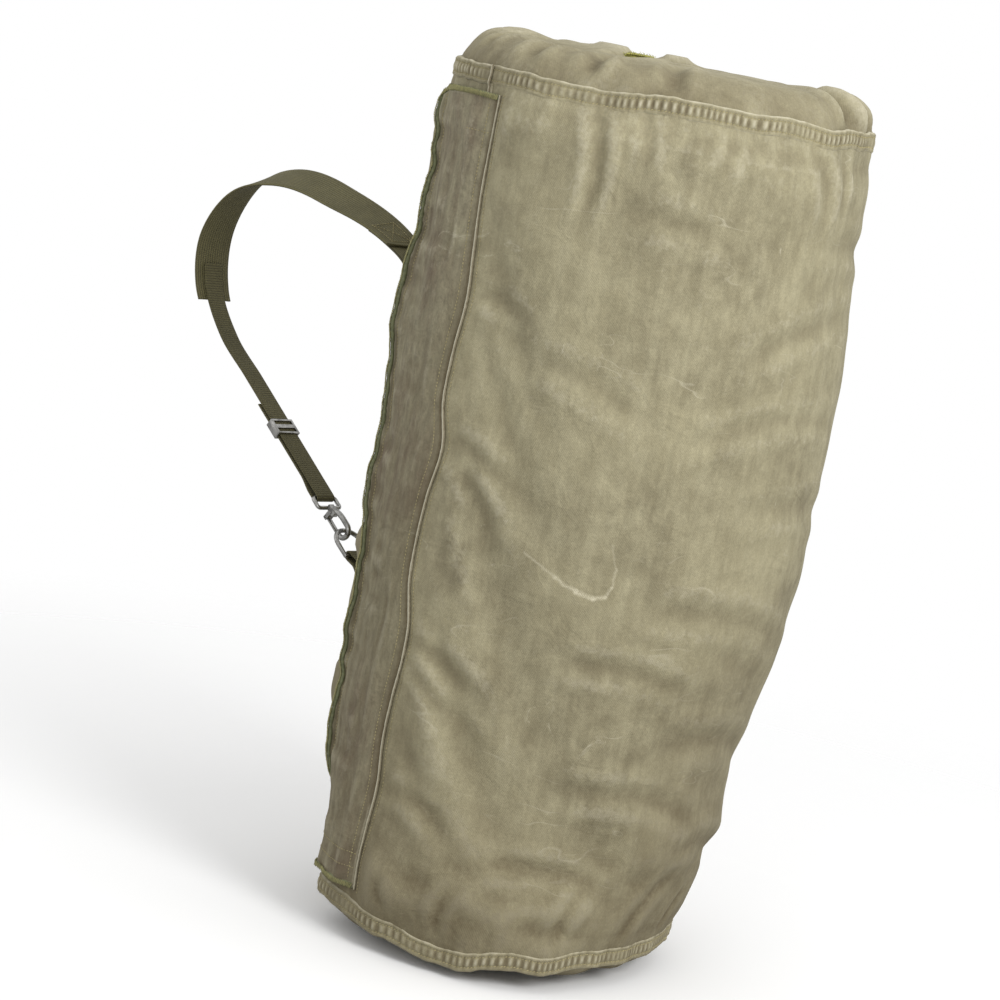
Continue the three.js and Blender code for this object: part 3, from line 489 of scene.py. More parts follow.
def mesh_object(name, points, faces, uv=None, uv_round=None, smooth=True, edges=(), **values):
    """A new object with its points in the row frame, UVs in metres and named values on its points."""
    mesh = bpy.data.meshes.new(name)
    points = np.asarray(points, float).reshape(-1, 3)
    faces = faces.tolist() if isinstance(faces, np.ndarray) else list(faces)
    mesh.from_pydata(points.tolist(), list(edges), faces)
    if uv is not None:
        corner = np.zeros(len(mesh.loops), int)
        mesh.loops.foreach_get("vertex_index", corner)
        place = np.asarray(uv, float).reshape(-1, 2)[corner]
        if uv_round:
            start = np.zeros(len(mesh.polygons), int)
            mesh.polygons.foreach_get("loop_start", start)
            face = np.searchsorted(start, np.arange(len(corner)), side="right") - 1
            most = np.full(len(start), -np.inf)
            np.maximum.at(most, face, place[:, 0])
            place[:, 0] += np.where(most[face] - place[:, 0] > uv_round / 2, uv_round, 0)
        mesh.uv_layers.new(name="UVMap").data.foreach_set("uv", place.astype(np.float32).ravel())
    for key, value in values.items():
        attribute = mesh.attributes.new(key, "FLOAT", "POINT")
        flat = np.full(len(points), value) if np.ndim(value) == 0 else value
        attribute.data.foreach_set("value", np.ascontiguousarray(flat, np.float32).ravel())
    if smooth:
        mesh.shade_smooth()
    mesh.validate()
    made = bpy.data.objects.new(name, mesh)
    bpy.context.scene.collection.objects.link(made)
    return made


def evaluated(made):
    """Applies the object's modifiers to its mesh."""
    graph = bpy.context.evaluated_depsgraph_get()
    mesh = bpy.data.meshes.new_from_object(made.evaluated_get(graph), depsgraph=graph)
    mesh.name = made.name
    made.modifiers.clear()
    made.data = mesh
    return made


def thicken(made, thickness):
    """Gives an open sheet its thickness, inwards."""
    solid = made.modifiers.new("Thickness", "SOLIDIFY")
    solid.thickness = thickness
    solid.offset = -1
    return evaluated(made)


def finish_piece(made, material, body="bag", replaces=()):
    made.data.materials.clear()
    made.data.materials.append(material)
    if body:
        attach(made, body)
    if replaces:
        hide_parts(*replaces)
    return made


# ---- Node trees ----
def node_maker(tree):
    def make(kind, inputs=None, **settings):
        node = tree.nodes.new(kind)
        for key, value in settings.items():
            setattr(node, key, value)
        for key, value in (inputs or {}).items():
            if isinstance(value, bpy.types.NodeSocket):
                tree.links.new(value, node.inputs[key])
            else:
                node.inputs[key].default_value = value
        return node

    return make


def new_group(name, kind, inputs, outputs):
    """A node group with its sockets: (name, type, default), or (name, type)."""
    tree = bpy.data.node_groups.new(name, kind)
    for title, sort, *default in inputs:
        socket = tree.interface.new_socket(title, in_out="INPUT", socket_type=sort)
        if default:
            socket.default_value = default[0]
    for title, sort in outputs:
        tree.interface.new_socket(title, in_out="OUTPUT", socket_type=sort)
    make = node_maker(tree)
    return tree, make, make("NodeGroupInput"), make("NodeGroupOutput")


def math_maker(make):
    def calc(operation, *values, clamp=False):
        node = make("ShaderNodeMath", dict(enumerate(values)), operation=operation, use_clamp=clamp)
        return node.outputs[0]

    return calc


def mix_colors(make, factor, first, second, blend="MIX"):
    node = make("ShaderNodeMix", {0: factor, 6: first, 7: second}, data_type="RGBA", blend_type=blend)
    return node.outputs[2]


def remap(make, value, low, high, to_low=0.0, to_high=1.0):
    inputs = {"Value": value, "From Min": low, "From Max": high, "To Min": to_low, "To Max": to_high}
    return make("ShaderNodeMapRange", inputs, clamp=True).outputs[0]


def fading_group():
    """Cotton that has faded in patches, with streaks along it and flecks in its yarn."""
    tree, make, source, sink = new_group(
        "faded_cotton",
        "ShaderNodeTree",
        [
            ("Light", "NodeSocketColor", (0.4, 0.38, 0.28, 1)),
            ("Middle", "NodeSocketColor", (0.3, 0.28, 0.2, 1)),
            ("Dark", "NodeSocketColor", (0.16, 0.15, 0.1, 1)),
            ("Patch Scale", "NodeSocketFloat", 6.0),
            ("Streaks", "NodeSocketFloat", 0.4),
        ],
        [("Color", "NodeSocketColor")],
    )
    calc = math_maker(make)
    place = make("ShaderNodeTexCoord").outputs["Object"]
    wide = make(
        "ShaderNodeTexNoise",
        {"Vector": place, "Scale": source.outputs["Patch Scale"], "Detail": 4.0, "Roughness": 0.6, "Distortion": 0.4},
    )
    small = make("ShaderNodeTexNoise", {"Vector": place, "Scale": 34.0, "Detail": 5.0, "Roughness": 0.65})
    long = make("ShaderNodeMapping", {"Vector": place, "Scale": (70, 70, 7)}).outputs[0]
    streak = make("ShaderNodeTexNoise", {"Vector": long, "Scale": 1.0, "Detail": 4.0, "Roughness": 0.6})
    fleck = make("ShaderNodeTexNoise", {"Vector": place, "Scale": 520.0, "Detail": 2.0, "Roughness": 0.7})
    first = mix_colors(
        make, remap(make, wide.outputs[0], 0.34, 0.60), source.outputs["Dark"], source.outputs["Middle"]
    )
    share = calc(
        "ADD",
        calc("MULTIPLY", remap(make, small.outputs[0], 0.38, 0.70), 0.6),
        calc("MULTIPLY", remap(make, streak.outputs[0], 0.40, 0.72), source.outputs["Streaks"]),
        clamp=True,
    )
    second = mix_colors(make, share, first, source.outputs["Light"])
    grain = remap(make, fleck.outputs[0], 0.25, 0.75, 0.86, 1.12)
    grey = make("ShaderNodeCombineColor", {0: grain, 1: grain, 2: grain}).outputs[0]
    tree.links.new(mix_colors(make, 1.0, second, grey, "MULTIPLY"), sink.inputs["Color"])
    return tree


def wear_group():
    """Where cloth is rubbed pale or painted with highlight, and where it is darkened by grime or painted shade, from
    the values on its points.
    """
    tree, make, source, sink = new_group(
        "wear",
        "ShaderNodeTree",
        [
            ("Color", "NodeSocketColor", (0.3, 0.3, 0.2, 1)),
            ("Rubbed", "NodeSocketColor", (0.6, 0.57, 0.45, 1)),
            ("Soil", "NodeSocketColor", (0.1, 0.08, 0.05, 1)),
            ("Scratches", "NodeSocketFloat", 0.5),
            ("Mottle", "NodeSocketFloat", 0.1),
        ],
        [("Color", "NodeSocketColor")],
    )
    calc = math_maker(make)
    place = make("ShaderNodeTexCoord").outputs["Object"]
    upright = make("ShaderNodeMapping", {"Vector": place, "Scale": (170, 170, 60)}).outputs[0]
    mottle = make("ShaderNodeTexNoise", {"Vector": upright, "Scale": 1.0, "Detail": 5.0, "Roughness": 0.7})
    shade = calc("MULTIPLY", remap(make, mottle.outputs[0], 0.32, 0.68, -1.0, 1.0), source.outputs["Mottle"])
    shade = calc("ADD", shade, 1.0)
    shade = make("ShaderNodeCombineColor", {0: shade, 1: shade, 2: shade}).outputs[0]
    base = mix_colors(make, 1.0, source.outputs["Color"], shade, "MULTIPLY")
    broken = make("ShaderNodeTexNoise", {"Vector": place, "Scale": 160.0, "Detail": 5.0, "Roughness": 0.7})
    worn = make("ShaderNodeAttribute", attribute_name="worn").outputs["Fac"]
    soiled = make("ShaderNodeAttribute", attribute_name="soiled").outputs["Fac"]
    # Pale rubbed colour where the points are worn; on the seam bands' pucker crests this is partly painted highlight.
    rub_and_highlight = calc(
        "MULTIPLY", remap(make, calc("ADD", worn, calc("MULTIPLY", broken.outputs[0], 0.9)), 0.55, 1.2), 0.75
    )
    color = mix_colors(make, rub_and_highlight, base, source.outputs["Rubbed"])
    turned = make("ShaderNodeMapping", {"Vector": place, "Rotation": (0.5, 0.9, 0.3), "Scale": (9, 60, 22)}).outputs[0]
    fine = make(
        "ShaderNodeTexNoise", {"Vector": turned, "Scale": 1.0, "Detail": 6.0, "Roughness": 0.75, "Distortion": 1.2}
    )
    scratch = calc("MULTIPLY", remap(make, fine.outputs[0], 0.66, 0.72), source.outputs["Scratches"])
    for turn, scale in ((0.9, (5, 5, 16)), (-0.7, (6, 6, 22))):
        lean = make("ShaderNodeMapping", {"Vector": place, "Rotation": (turn, turn, 0.4), "Scale": scale}).outputs[0]
        line = make("ShaderNodeTexNoise", {"Vector": lean, "Scale": 1.0, "Detail": 3.0, "Distortion": 0.3})
        some = make("ShaderNodeTexNoise", {"Vector": place, "Scale": 11.0 + turn, "Detail": 3.0})
        thin = remap(make, calc("ABSOLUTE", calc("SUBTRACT", line.outputs[0], 0.5)), 0.0, 0.005, 1.0, 0.0)
        thin = calc("MULTIPLY", thin, remap(make, some.outputs[0], 0.56, 0.64, 0.0, 0.7))
        scratch = calc("MAXIMUM", scratch, calc("MULTIPLY", thin, source.outputs["Scratches"]))
    color = mix_colors(make, scratch, color, source.outputs["Rubbed"])
    # Darkens towards its darkest colour by the points' darkening value: real grime, together with painted shade in
    # hollows, creases and beside the flap.
    dirt_and_shade_mask = calc("MULTIPLY", soiled, remap(make, broken.outputs[0], 0.2, 0.7, 0.55, 1.0))
    color = mix_colors(make, dirt_and_shade_mask, color, source.outputs["Soil"])
    tree.links.new(color, sink.inputs["Color"])
    return tree


def stroke_group():
    """A broken rubbed stroke from one place to another on the cloth, as a mask, from UVs in metres."""
    tree, make, source, sink = new_group(
        "rubbed_stroke",
        "ShaderNodeTree",
        [("Start", "NodeSocketVector"), ("End", "NodeSocketVector"), ("Width", "NodeSocketFloat", 0.003)],
        [("Mask", "NodeSocketFloat")],
    )
    calc = math_maker(make)

    def vector(operation, *values):
        return make("ShaderNodeVectorMath", dict(enumerate(values)), operation=operation)

    flat = make("ShaderNodeUVMap").outputs[0]
    wander = make("ShaderNodeTexNoise", {"Vector": flat, "Scale": 90.0, "Detail": 3.0})
    bent = vector("MULTIPLY_ADD", wander.outputs["Color"], (0.006, 0.006, 0), flat).outputs[0]
    bent = vector("SUBTRACT", bent, (0.003, 0.003, 0)).outputs[0]
    away = vector("SUBTRACT", bent, source.outputs["Start"]).outputs[0]
    line = vector("SUBTRACT", source.outputs["End"], source.outputs["Start"]).outputs[0]
    length = vector("DOT_PRODUCT", line, line).outputs["Value"]
    share = calc("DIVIDE", vector("DOT_PRODUCT", away, line).outputs["Value"], length, clamp=True)
    scaled = make("ShaderNodeVectorMath", {0: line, "Scale": share}, operation="SCALE").outputs[0]
    apart = vector("DISTANCE", away, scaled).outputs["Value"]
    near = calc("SUBTRACT", 1.0, calc("DIVIDE", apart, source.outputs["Width"]), clamp=True)
    broken = make("ShaderNodeTexNoise", {"Vector": flat, "Scale": 700.0, "Detail": 3.0, "Roughness": 0.7})
    mask = calc("MULTIPLY", near, remap(make, broken.outputs[0], 0.35, 0.62, 0.25, 1.0))
    tree.links.new(mask, sink.inputs["Mask"])
    return tree


def weave_group():
    """The height of a plain weave in millimetres, with slubs in its yarn, from UVs in metres."""
    tree, make, source, sink = new_group(
        "weave",
        "ShaderNodeTree",
        [
            ("Yarn", "NodeSocketFloat", 0.0012),
            ("Crumple", "NodeSocketFloat", 0.5),
        ],
        [("Height", "NodeSocketFloat")],
    )
    calc = math_maker(make)
    place = make("ShaderNodeTexCoord").outputs["Object"]
    flat = make("ShaderNodeUVMap").outputs[0]
    parts = make("ShaderNodeSeparateXYZ", {0: flat}).outputs
    turn = calc("DIVIDE", math.pi, source.outputs["Yarn"])
    warp = calc("SINE", calc("MULTIPLY", parts[0], turn))
    weft = calc("SINE", calc("MULTIPLY", parts[1], turn))
    threads = calc("MULTIPLY", calc("MULTIPLY", warp, weft), 0.10)
    slub = make("ShaderNodeTexNoise", {"Vector": place, "Scale": 420.0, "Detail": 3.0, "Roughness": 0.6})
    crumple = make("ShaderNodeTexNoise", {"Vector": place, "Scale": 75.0, "Detail": 4.0, "Roughness": 0.55})
    ridge = make("ShaderNodeTexNoise", {"Vector": place, "Scale": 24.0, "Detail": 3.0, "Distortion": 1.0})
    folds = calc("ABSOLUTE", calc("SUBTRACT", ridge.outputs[0], 0.5))
    height = calc("ADD", threads, calc("MULTIPLY", slub.outputs[0], 0.30))
    height = calc("ADD", height, calc("MULTIPLY", calc("MULTIPLY", crumple.outputs[0], 1.6), source.outputs["Crumple"]))
    height = calc("ADD", height, calc("MULTIPLY", calc("MULTIPLY", folds, -7.0), source.outputs["Crumple"]))
    tree.links.new(height, sink.inputs["Height"])
    return tree


def gather_group():
    """Short puckers across a seam in millimetres. "gather" on the points says how strong they are."""
    tree, make, source, sink = new_group(
        "gathers", "ShaderNodeTree", [("Spacing", "NodeSocketFloat", 0.007)], [("Height", "NodeSocketFloat")]
    )
    calc = math_maker(make)
    parts = make("ShaderNodeSeparateXYZ", {0: make("ShaderNodeUVMap").outputs[0]}).outputs
    along = make("ShaderNodeCombineXYZ", {0: parts[0], 1: calc("MULTIPLY", parts[1], 0.25)}).outputs[0]
    scale = calc("DIVIDE", 1.0, source.outputs["Spacing"])
    noise = make("ShaderNodeTexNoise", {"Vector": along, "Scale": scale, "Detail": 1.5})
    strength = make("ShaderNodeAttribute", attribute_name="gather").outputs["Fac"]
    tree.links.new(calc("MULTIPLY", calc("MULTIPLY", noise.outputs[0], 5.0), strength), sink.inputs["Height"])
    return tree


def webbing_group():
    """Heavy ribbed webbing: its height in millimetres, and a mask for painted shade in its grooves."""
    tree, make, source, sink = new_group(
        "ribbed_webbing",
        "ShaderNodeTree",
        [
            ("Rib", "NodeSocketFloat", 0.0032),
            ("Pick", "NodeSocketFloat", 0.0021),
            ("Ribs Across", "NodeSocketFloat", 0.0),
        ],
        [("Height", "NodeSocketFloat"), ("Groove Shade", "NodeSocketFloat")],
    )
    calc = math_maker(make)
    parts = make("ShaderNodeSeparateXYZ", {0: make("ShaderNodeUVMap").outputs[0]}).outputs
    place = make("ShaderNodeTexCoord").outputs["Object"]
    turned = make("ShaderNodeMix", {0: source.outputs["Ribs Across"], 2: parts[0], 3: parts[1]}).outputs[0]
    plain = make("ShaderNodeMix", {0: source.outputs["Ribs Across"], 2: parts[1], 3: parts[0]}).outputs[0]
    rib = calc("ABSOLUTE", calc("SINE", calc("DIVIDE", calc("MULTIPLY", turned, math.pi), source.outputs["Rib"])))
    row = calc("FLOOR", calc("DIVIDE", turned, source.outputs["Rib"]))
    shift = calc("MULTIPLY", row, math.pi / 2)
    pick = calc("DIVIDE", calc("MULTIPLY", plain, 2 * math.pi), source.outputs["Pick"])
    cross = calc("SINE", calc("ADD", pick, shift))
    fuzz = make("ShaderNodeTexNoise", {"Vector": place, "Scale": 700.0, "Detail": 2.0})
    height = calc("ADD", calc("MULTIPLY", rib, 0.45), calc("MULTIPLY", calc("MULTIPLY", cross, rib), 0.22))
    height = calc("ADD", height, calc("MULTIPLY", fuzz.outputs[0], 0.25))
    tree.links.new(height, sink.inputs["Height"])
    tree.links.new(calc("MULTIPLY", rib, 1.0, clamp=True), sink.inputs["Groove Shade"])
    return tree


def surface_material(name, roughness, metallic=0.0, sheen=0.0, sheen_tint=None):
    """A material with its Principled shader, and a function that adds nodes to it."""
    material = bpy.data.materials.new(name)
    material.use_nodes = True
    tree = material.node_tree
    tree.nodes.clear()
    make = node_maker(tree)
    shader = make("ShaderNodeBsdfPrincipled", {"Roughness": roughness, "Metallic": metallic})
    if sheen:
        shader.inputs["Sheen Weight"].default_value = sheen
        shader.inputs["Sheen Roughness"].default_value = 0.6
        shader.inputs["Sheen Tint"].default_value = (*sheen_tint, 1)
    make("ShaderNodeOutputMaterial", {"Surface": shader.outputs[0]})
    return material, make, shader


def bump(make, height, distance, strength=1.0):
    return make("ShaderNodeBump", {"Height": height, "Distance": distance, "Strength": strength}).outputs[0]


def rgba(color, scale=1.0):
    return (*[channel * scale for channel in color], 1)


def canvas_material(
    name, light, middle, dark, rubbed_and_highlight, soil, crumple=0.5, streaks=0.4, scratches=0.5, mottle=0.08, strokes=()
):
    material, make, shader = surface_material(name, 0.92, sheen=0.12, sheen_tint=light)
    fading = make("ShaderNodeGroup", node_tree=TREES["fading"])
    for key, value in (("Light", light), ("Middle", middle), ("Dark", dark)):
        fading.inputs[key].default_value = rgba(value)
    fading.inputs["Streaks"].default_value = streaks
    wear = make("ShaderNodeGroup", {"Color": fading.outputs[0]}, node_tree=TREES["wear"])
    wear.inputs["Rubbed"].default_value = rgba(rubbed_and_highlight)
    wear.inputs["Soil"].default_value = rgba(soil)
    wear.inputs["Scratches"].default_value = scratches
    wear.inputs["Mottle"].default_value = mottle
    weave = make("ShaderNodeGroup", node_tree=TREES["weave"])
    weave.inputs["Crumple"].default_value = crumple
    gathers = make("ShaderNodeGroup", node_tree=TREES["gathers"])
    height = math_maker(make)("ADD", weave.outputs[0], gathers.outputs[0])
    tree = material.node_tree
    color = wear.outputs[0]
    for start, end, width, strength in strokes:
        stroke = make("ShaderNodeGroup", node_tree=TREES["stroke"])
        for key, (azimuth, level) in (("Start", start), ("End", end)):
            stroke.inputs[key].default_value = (azimuth * DEG * RADIUS, level * MM, 0)
        stroke.inputs["Width"].default_value = width * MM
        share = math_maker(make)("MULTIPLY", stroke.outputs[0], strength)
        color = mix_colors(make, share, color, rgba(rubbed_and_highlight, 1.25))
    tree.links.new(color, shader.inputs["Base Color"])
    tree.links.new(bump(make, height, MM, 0.9), shader.inputs["Normal"])
    return material


def webbing_material(name, light, dark, rib, across=0.0):
    material, make, shader = surface_material(name, 0.85, sheen=0.1, sheen_tint=light)
    weave = make("ShaderNodeGroup", node_tree=TREES["webbing"])
    weave.inputs["Rib"].default_value = rib
    weave.inputs["Ribs Across"].default_value = across
    fading = make("ShaderNodeGroup", node_tree=TREES["fading"])
    for key, scale in (("Light", 1.12), ("Middle", 0.95), ("Dark", 0.75)):
        fading.inputs[key].default_value = rgba(light, scale)
    fading.inputs["Patch Scale"].default_value = 14.0
    # Painted shade: the colour falls to the dark colour in the grooves between the ribs.
    groove_shaded = mix_colors(make, remap(make, weave.outputs["Groove Shade"], 0.0, 0.7), rgba(dark), fading.outputs[0])
    tree = material.node_tree
    tree.links.new(groove_shaded, shader.inputs["Base Color"])
    tree.links.new(bump(make, weave.outputs["Height"], MM, 0.8), shader.inputs["Normal"])
    return material


def thread_material(name, color):
    material, make, shader = surface_material(name, 0.8)
    place = make("ShaderNodeTexCoord").outputs["Object"]
    noise = make("ShaderNodeTexNoise", {"Vector": place, "Scale": 300.0, "Detail": 2.0})
    shade = mix_colors(make, remap(make, noise.outputs[0], 0.3, 0.7), rgba(color, 0.7), rgba(color, 1.2))
    material.node_tree.links.new(shade, shader.inputs["Base Color"])
    material.node_tree.links.new(bump(make, noise.outputs[0], 0.3 * MM), shader.inputs["Normal"])
    return material


def metal_material(name, color, tarnish, roughness):
    material, make, shader = surface_material(name, roughness, metallic=1.0)
    place = make("ShaderNodeTexCoord").outputs["Object"]
    wide = make("ShaderNodeTexNoise", {"Vector": place, "Scale": 120.0, "Detail": 5.0, "Roughness": 0.65})
    fine = make("ShaderNodeTexNoise", {"Vector": place, "Scale": 900.0, "Detail": 3.0})
    shade = mix_colors(make, remap(make, wide.outputs[0], 0.42, 0.68), rgba(color), rgba(tarnish))
    tree = material.node_tree
    tree.links.new(shade, shader.inputs["Base Color"])
    rough = remap(make, wide.outputs[0], 0.3, 0.7, roughness - 0.08, roughness + 0.15)
    tree.links.new(rough, shader.inputs["Roughness"])
    tree.links.new(bump(make, fine.outputs[0], 0.15 * MM, 0.5), shader.inputs["Normal"])
    return material


TREES = {}
MATERIALS = {}


def make_materials():
    canvas = bpy.context.scene.duffel_canvas
    hardware = bpy.context.scene.duffel_fittings
    TREES.update(
        fading=fading_group(), wear=wear_group(), weave=weave_group(), gathers=gather_group(), webbing=webbing_group(),
        stroke=stroke_group(),
    )
    light, middle, dark = canvas.light, canvas.middle, canvas.dark
    rubbed_and_highlight, soil = canvas.rubbed_and_highlight, canvas.soil
    flap = [np.array(c) * canvas.flap_tint for c in (light, middle, dark)]
    flap[2] = flap[2] * [1.02, 0.86, 0.95]
    seam = [np.array(c) * 1.02 for c in (light, middle, dark)]
    MATERIALS.update(
        canvas=canvas_material("faded_canvas", light, middle, dark, rubbed_and_highlight, soil, strokes=RUBBED_STROKES),
        flap=canvas_material("flap_canvas", *flap, rubbed_and_highlight, soil, crumple=0.9, streaks=0.7, mottle=0.22),
        seam=canvas_material("seam_canvas", *seam, rubbed_and_highlight, soil, crumple=0.3, scratches=0.3, mottle=0.15),
        piping=canvas_material("pale_piping", rubbed_and_highlight, rubbed_and_highlight, middle, rubbed_and_highlight, soil, 0.35, 0.3, 0.0),
        webbing=webbing_material("olive_webbing", hardware.webbing, hardware.webbing_groove_shade, 3.2 * MM),
        narrow=webbing_material(
            "narrow_webbing", np.array(hardware.webbing) * 0.8, hardware.webbing_groove_shade, 2.8 * MM, 1.0
        ),
        tape=webbing_material("zip_tape", np.array(hardware.webbing) * 0.9, hardware.webbing_groove_shade, 1.2 * MM),
        overlock=thread_material("overlock_thread", hardware.edge_thread),
        pale_overlock=thread_material("pale_overlock_thread", np.array(hardware.edge_thread) * [1.75, 1.55, 1.35]),
        tab=thread_material("tab_thread", hardware.tab_thread),
        thread=thread_material("seam_thread", hardware.thread),
        steel=metal_material("satin_steel", hardware.steel, np.array(hardware.steel) * 0.45, 0.26),
        zip_metal=metal_material("aged_zip_metal", hardware.zip_metal, np.array(hardware.zip_metal) * 0.5, 0.42),
    )


# ---- Stitches and other things that repeat ----
def repeat_tree(name, inputs):
    """A tree with even points along each line of a mesh. "outward" on its points is the way out."""
    tree, make, source, sink = new_group(
        name,
        "GeometryNodeTree",
        [
            ("Geometry", "NodeSocketGeometry"),
            ("Pitch", "NodeSocketFloat", 0.003),
            *inputs,
            ("Material", "NodeSocketMaterial"),
        ],
        [("Geometry", "NodeSocketGeometry")],
    )
    given = source.outputs
    curve = make("GeometryNodeMeshToCurve", {"Mesh": given["Geometry"]})
    even = make(
        "GeometryNodeResampleCurve", {"Curve": curve.outputs[0], "Length": given["Pitch"]}, mode="LENGTH"
    ).outputs[0]
    outward = make("GeometryNodeInputNamedAttribute", {"Name": "outward"}, data_type="FLOAT_VECTOR").outputs[0]
    return tree, make, given, sink, even, outward


def facing_along(make, outward):
    """The rotation with X along the line and Z outwards."""
    tangent = make("GeometryNodeInputTangent")
    along = make("FunctionNodeAlignRotationToVector", {"Vector": tangent.outputs[0]}, axis="X")
    return make(
        "FunctionNodeAlignRotationToVector",
        {"Rotation": along.outputs[0], "Vector": outward},
        axis="Z",
        pivot_axis="X",
    ).outputs[0]


def random_turn(make, given, reach):
    """A random turn about each axis, up to its reach times "Unevenness" either way."""
    spread = make("ShaderNodeCombineXYZ", {axis: given["Unevenness"] for axis in range(3)}).outputs[0]
    low = make("ShaderNodeVectorMath", {0: tuple(-r for r in reach), 1: spread}, operation="MULTIPLY")
    high = make("ShaderNodeVectorMath", {0: reach, 1: spread}, operation="MULTIPLY")
    return make(
        "FunctionNodeRandomValue",
        {"Min": low.outputs[0], "Max": high.outputs[0], "Seed": given["Seed"]},
        data_type="FLOAT_VECTOR",
    ).outputs[0]


def turn_further(make, facing, turn):
    """A rotation turned further in its own frame."""
    local = make("FunctionNodeEulerToRotation", {0: turn})
    return make(
        "FunctionNodeRotateRotation",
        {"Rotation": facing, "Rotate By": local.outputs[0]},
        rotation_space="LOCAL",
    ).outputs[0]


def place_copies(tree, make, given, sink, smooth=False, **placing):
    """Ends a tree: real copies at its points, with its material."""
    placed = make("GeometryNodeInstanceOnPoints", placing)
    shape = make("GeometryNodeRealizeInstances", {0: placed.outputs[0]}).outputs[0]
    if smooth:
        shape = make("GeometryNodeSetShadeSmooth", {0: shape}).outputs[0]
    named = make("GeometryNodeSetMaterial", {"Geometry": shape, "Material": given["Material"]})
    tree.links.new(named.outputs[0], sink.inputs[0])
    return tree


def stitch_tree():
    """Sews a row of stitches along each line of a mesh."""
    tree, make, given, sink, even, outward = repeat_tree("row_of_stitches", [
        ("Length", "NodeSocketFloat", 0.0024),
        ("Thickness", "NodeSocketFloat", 0.0009),
        ("Slant", "NodeSocketFloat", 0.0),
        ("Unevenness", "NodeSocketFloat", 0.12),
        ("Seed", "NodeSocketInt", 1),
    ])
    slant = make("ShaderNodeCombineXYZ", {2: given["Slant"]})
    wobble = random_turn(make, given, (1, 1, 1))
    turn = make("ShaderNodeVectorMath", {0: slant.outputs[0], 1: wobble}, operation="ADD").outputs[0]
    half = make("ShaderNodeMath", {0: given["Length"], 1: 0.5}, operation="MULTIPLY").outputs[0]
    thin = make("ShaderNodeMath", {0: given["Thickness"], 1: 0.5}, operation="MULTIPLY").outputs[0]
    size = make("ShaderNodeCombineXYZ", {0: half, 1: thin, 2: thin}).outputs[0]
    thread = make("GeometryNodeMeshUVSphere", {"Segments": 6, "Rings": 5, "Radius": 1.0}).outputs[0]
    rotation = turn_further(make, facing_along(make, outward), turn)
    return place_copies(
        tree, make, given, sink, smooth=True, Points=even, Instance=thread, Rotation=rotation, Scale=size
    )


def fibre_tree():
    """Curved fibres or thread loops that stand out from each line of a mesh."""
    tree, make, given, sink, even, outward = repeat_tree("fibres", [
        ("Length", "NodeSocketFloat", 0.006),
        ("Thickness", "NodeSocketFloat", 0.0003),
        ("Unevenness", "NodeSocketFloat", 1.0),
        ("Seed", "NodeSocketInt", 1),
    ])
    facing = make("FunctionNodeAlignRotationToVector", {"Vector": outward}, axis="Z").outputs[0]
    rotation = turn_further(make, facing, random_turn(make, given, (1, 1, 3)))
    bow = make(
        "GeometryNodeCurveQuadraticBezier",
        {"Resolution": 6, "Start": (0, 0, 0), "Middle": (0.35, 0.1, 0.6), "End": (-0.1, 0.3, 1.0)},
    )
    ring = make("GeometryNodeCurvePrimitiveCircle", {"Resolution": 4}, mode="RADIUS")
    share = make("ShaderNodeMath", {0: given["Thickness"], 1: given["Length"]}, operation="DIVIDE")
    thin = make("ShaderNodeMath", {0: share.outputs[0], 1: 0.5}, operation="MULTIPLY")
    tree.links.new(thin.outputs[0], ring.inputs["Radius"])
    hair = make("GeometryNodeCurveToMesh", {"Curve": bow.outputs[0], "Profile Curve": ring.outputs[0]}).outputs[0]
    lengths = make("FunctionNodeRandomValue", {2: 0.45, 3: 1.1, "Seed": given["Seed"]}, data_type="FLOAT")
    size = make("ShaderNodeMath", {0: lengths.outputs[1], 1: given["Length"]}, operation="MULTIPLY").outputs[0]
    return place_copies(tree, make, given, sink, Points=even, Instance=hair, Rotation=rotation, Scale=size)


def run_tree(made, tree, values):
    """Runs a geometry tree on an object with its named inputs, and keeps the plain mesh."""
    modifier = made.modifiers.new("Repeat", "NODES")
    modifier.node_group = tree
    for socket in tree.interface.items_tree:
        if getattr(socket, "in_out", "") == "INPUT" and socket.name in values:
            modifier[socket.identifier] = values[socket.name]
    return evaluated(made)


def lines_object(name, lines):
    """A mesh of open lines, each (points, outward vectors)."""
    points, outward, edges = [], [], []
    for line, out in lines:
        start = len(points)
        points.extend(np.asarray(line).tolist())
        outward.extend(np.broadcast_to(out, np.shape(line)).tolist())
        edges.extend((start + i, start + i + 1) for i in range(len(line) - 1))
    made = mesh_object(name, points, [], edges=edges, smooth=False)
    attribute = made.data.attributes.new("outward", "FLOAT_VECTOR", "POINT")
    attribute.data.foreach_set("vector", np.array(outward, np.float32).ravel())
    return made


def repeat_along(kind, build, name, lines, material, slot, body, **values):
    """Repeats a thing along lines, with one shared tree for each kind."""
    if kind not in TREES:
        TREES[kind] = build()
    made = lines_object(name, lines)
    run_tree(made, TREES[kind], {**values, "Material": MATERIALS[material]})
    return finish_piece(made, MATERIALS[material], body)


def sew(name, lines, material, slot, body="bag", pitch=3.2, length=2.5, thickness=0.9, slant=0.0, seed=1):
    """Rows of stitches, sizes in millimetres."""
    return repeat_along(
        "stitches", stitch_tree, name, lines, material, slot, body,
        Pitch=pitch * MM, Length=length * MM, Thickness=thickness * MM, Slant=slant, Seed=seed,
    )


def grow_fibres(name, lines, material, slot, body="bag", pitch=3.0, length=6.0, thickness=0.3, spread=0.9, seed=1):
    """Loose fibres or loops along lines, sizes in millimetres."""
    return repeat_along(
        "fibres", fibre_tree, name, lines, material, slot, body,
        Pitch=pitch * MM, Length=length * MM, Thickness=thickness * MM, Unevenness=spread, Seed=seed,
    )


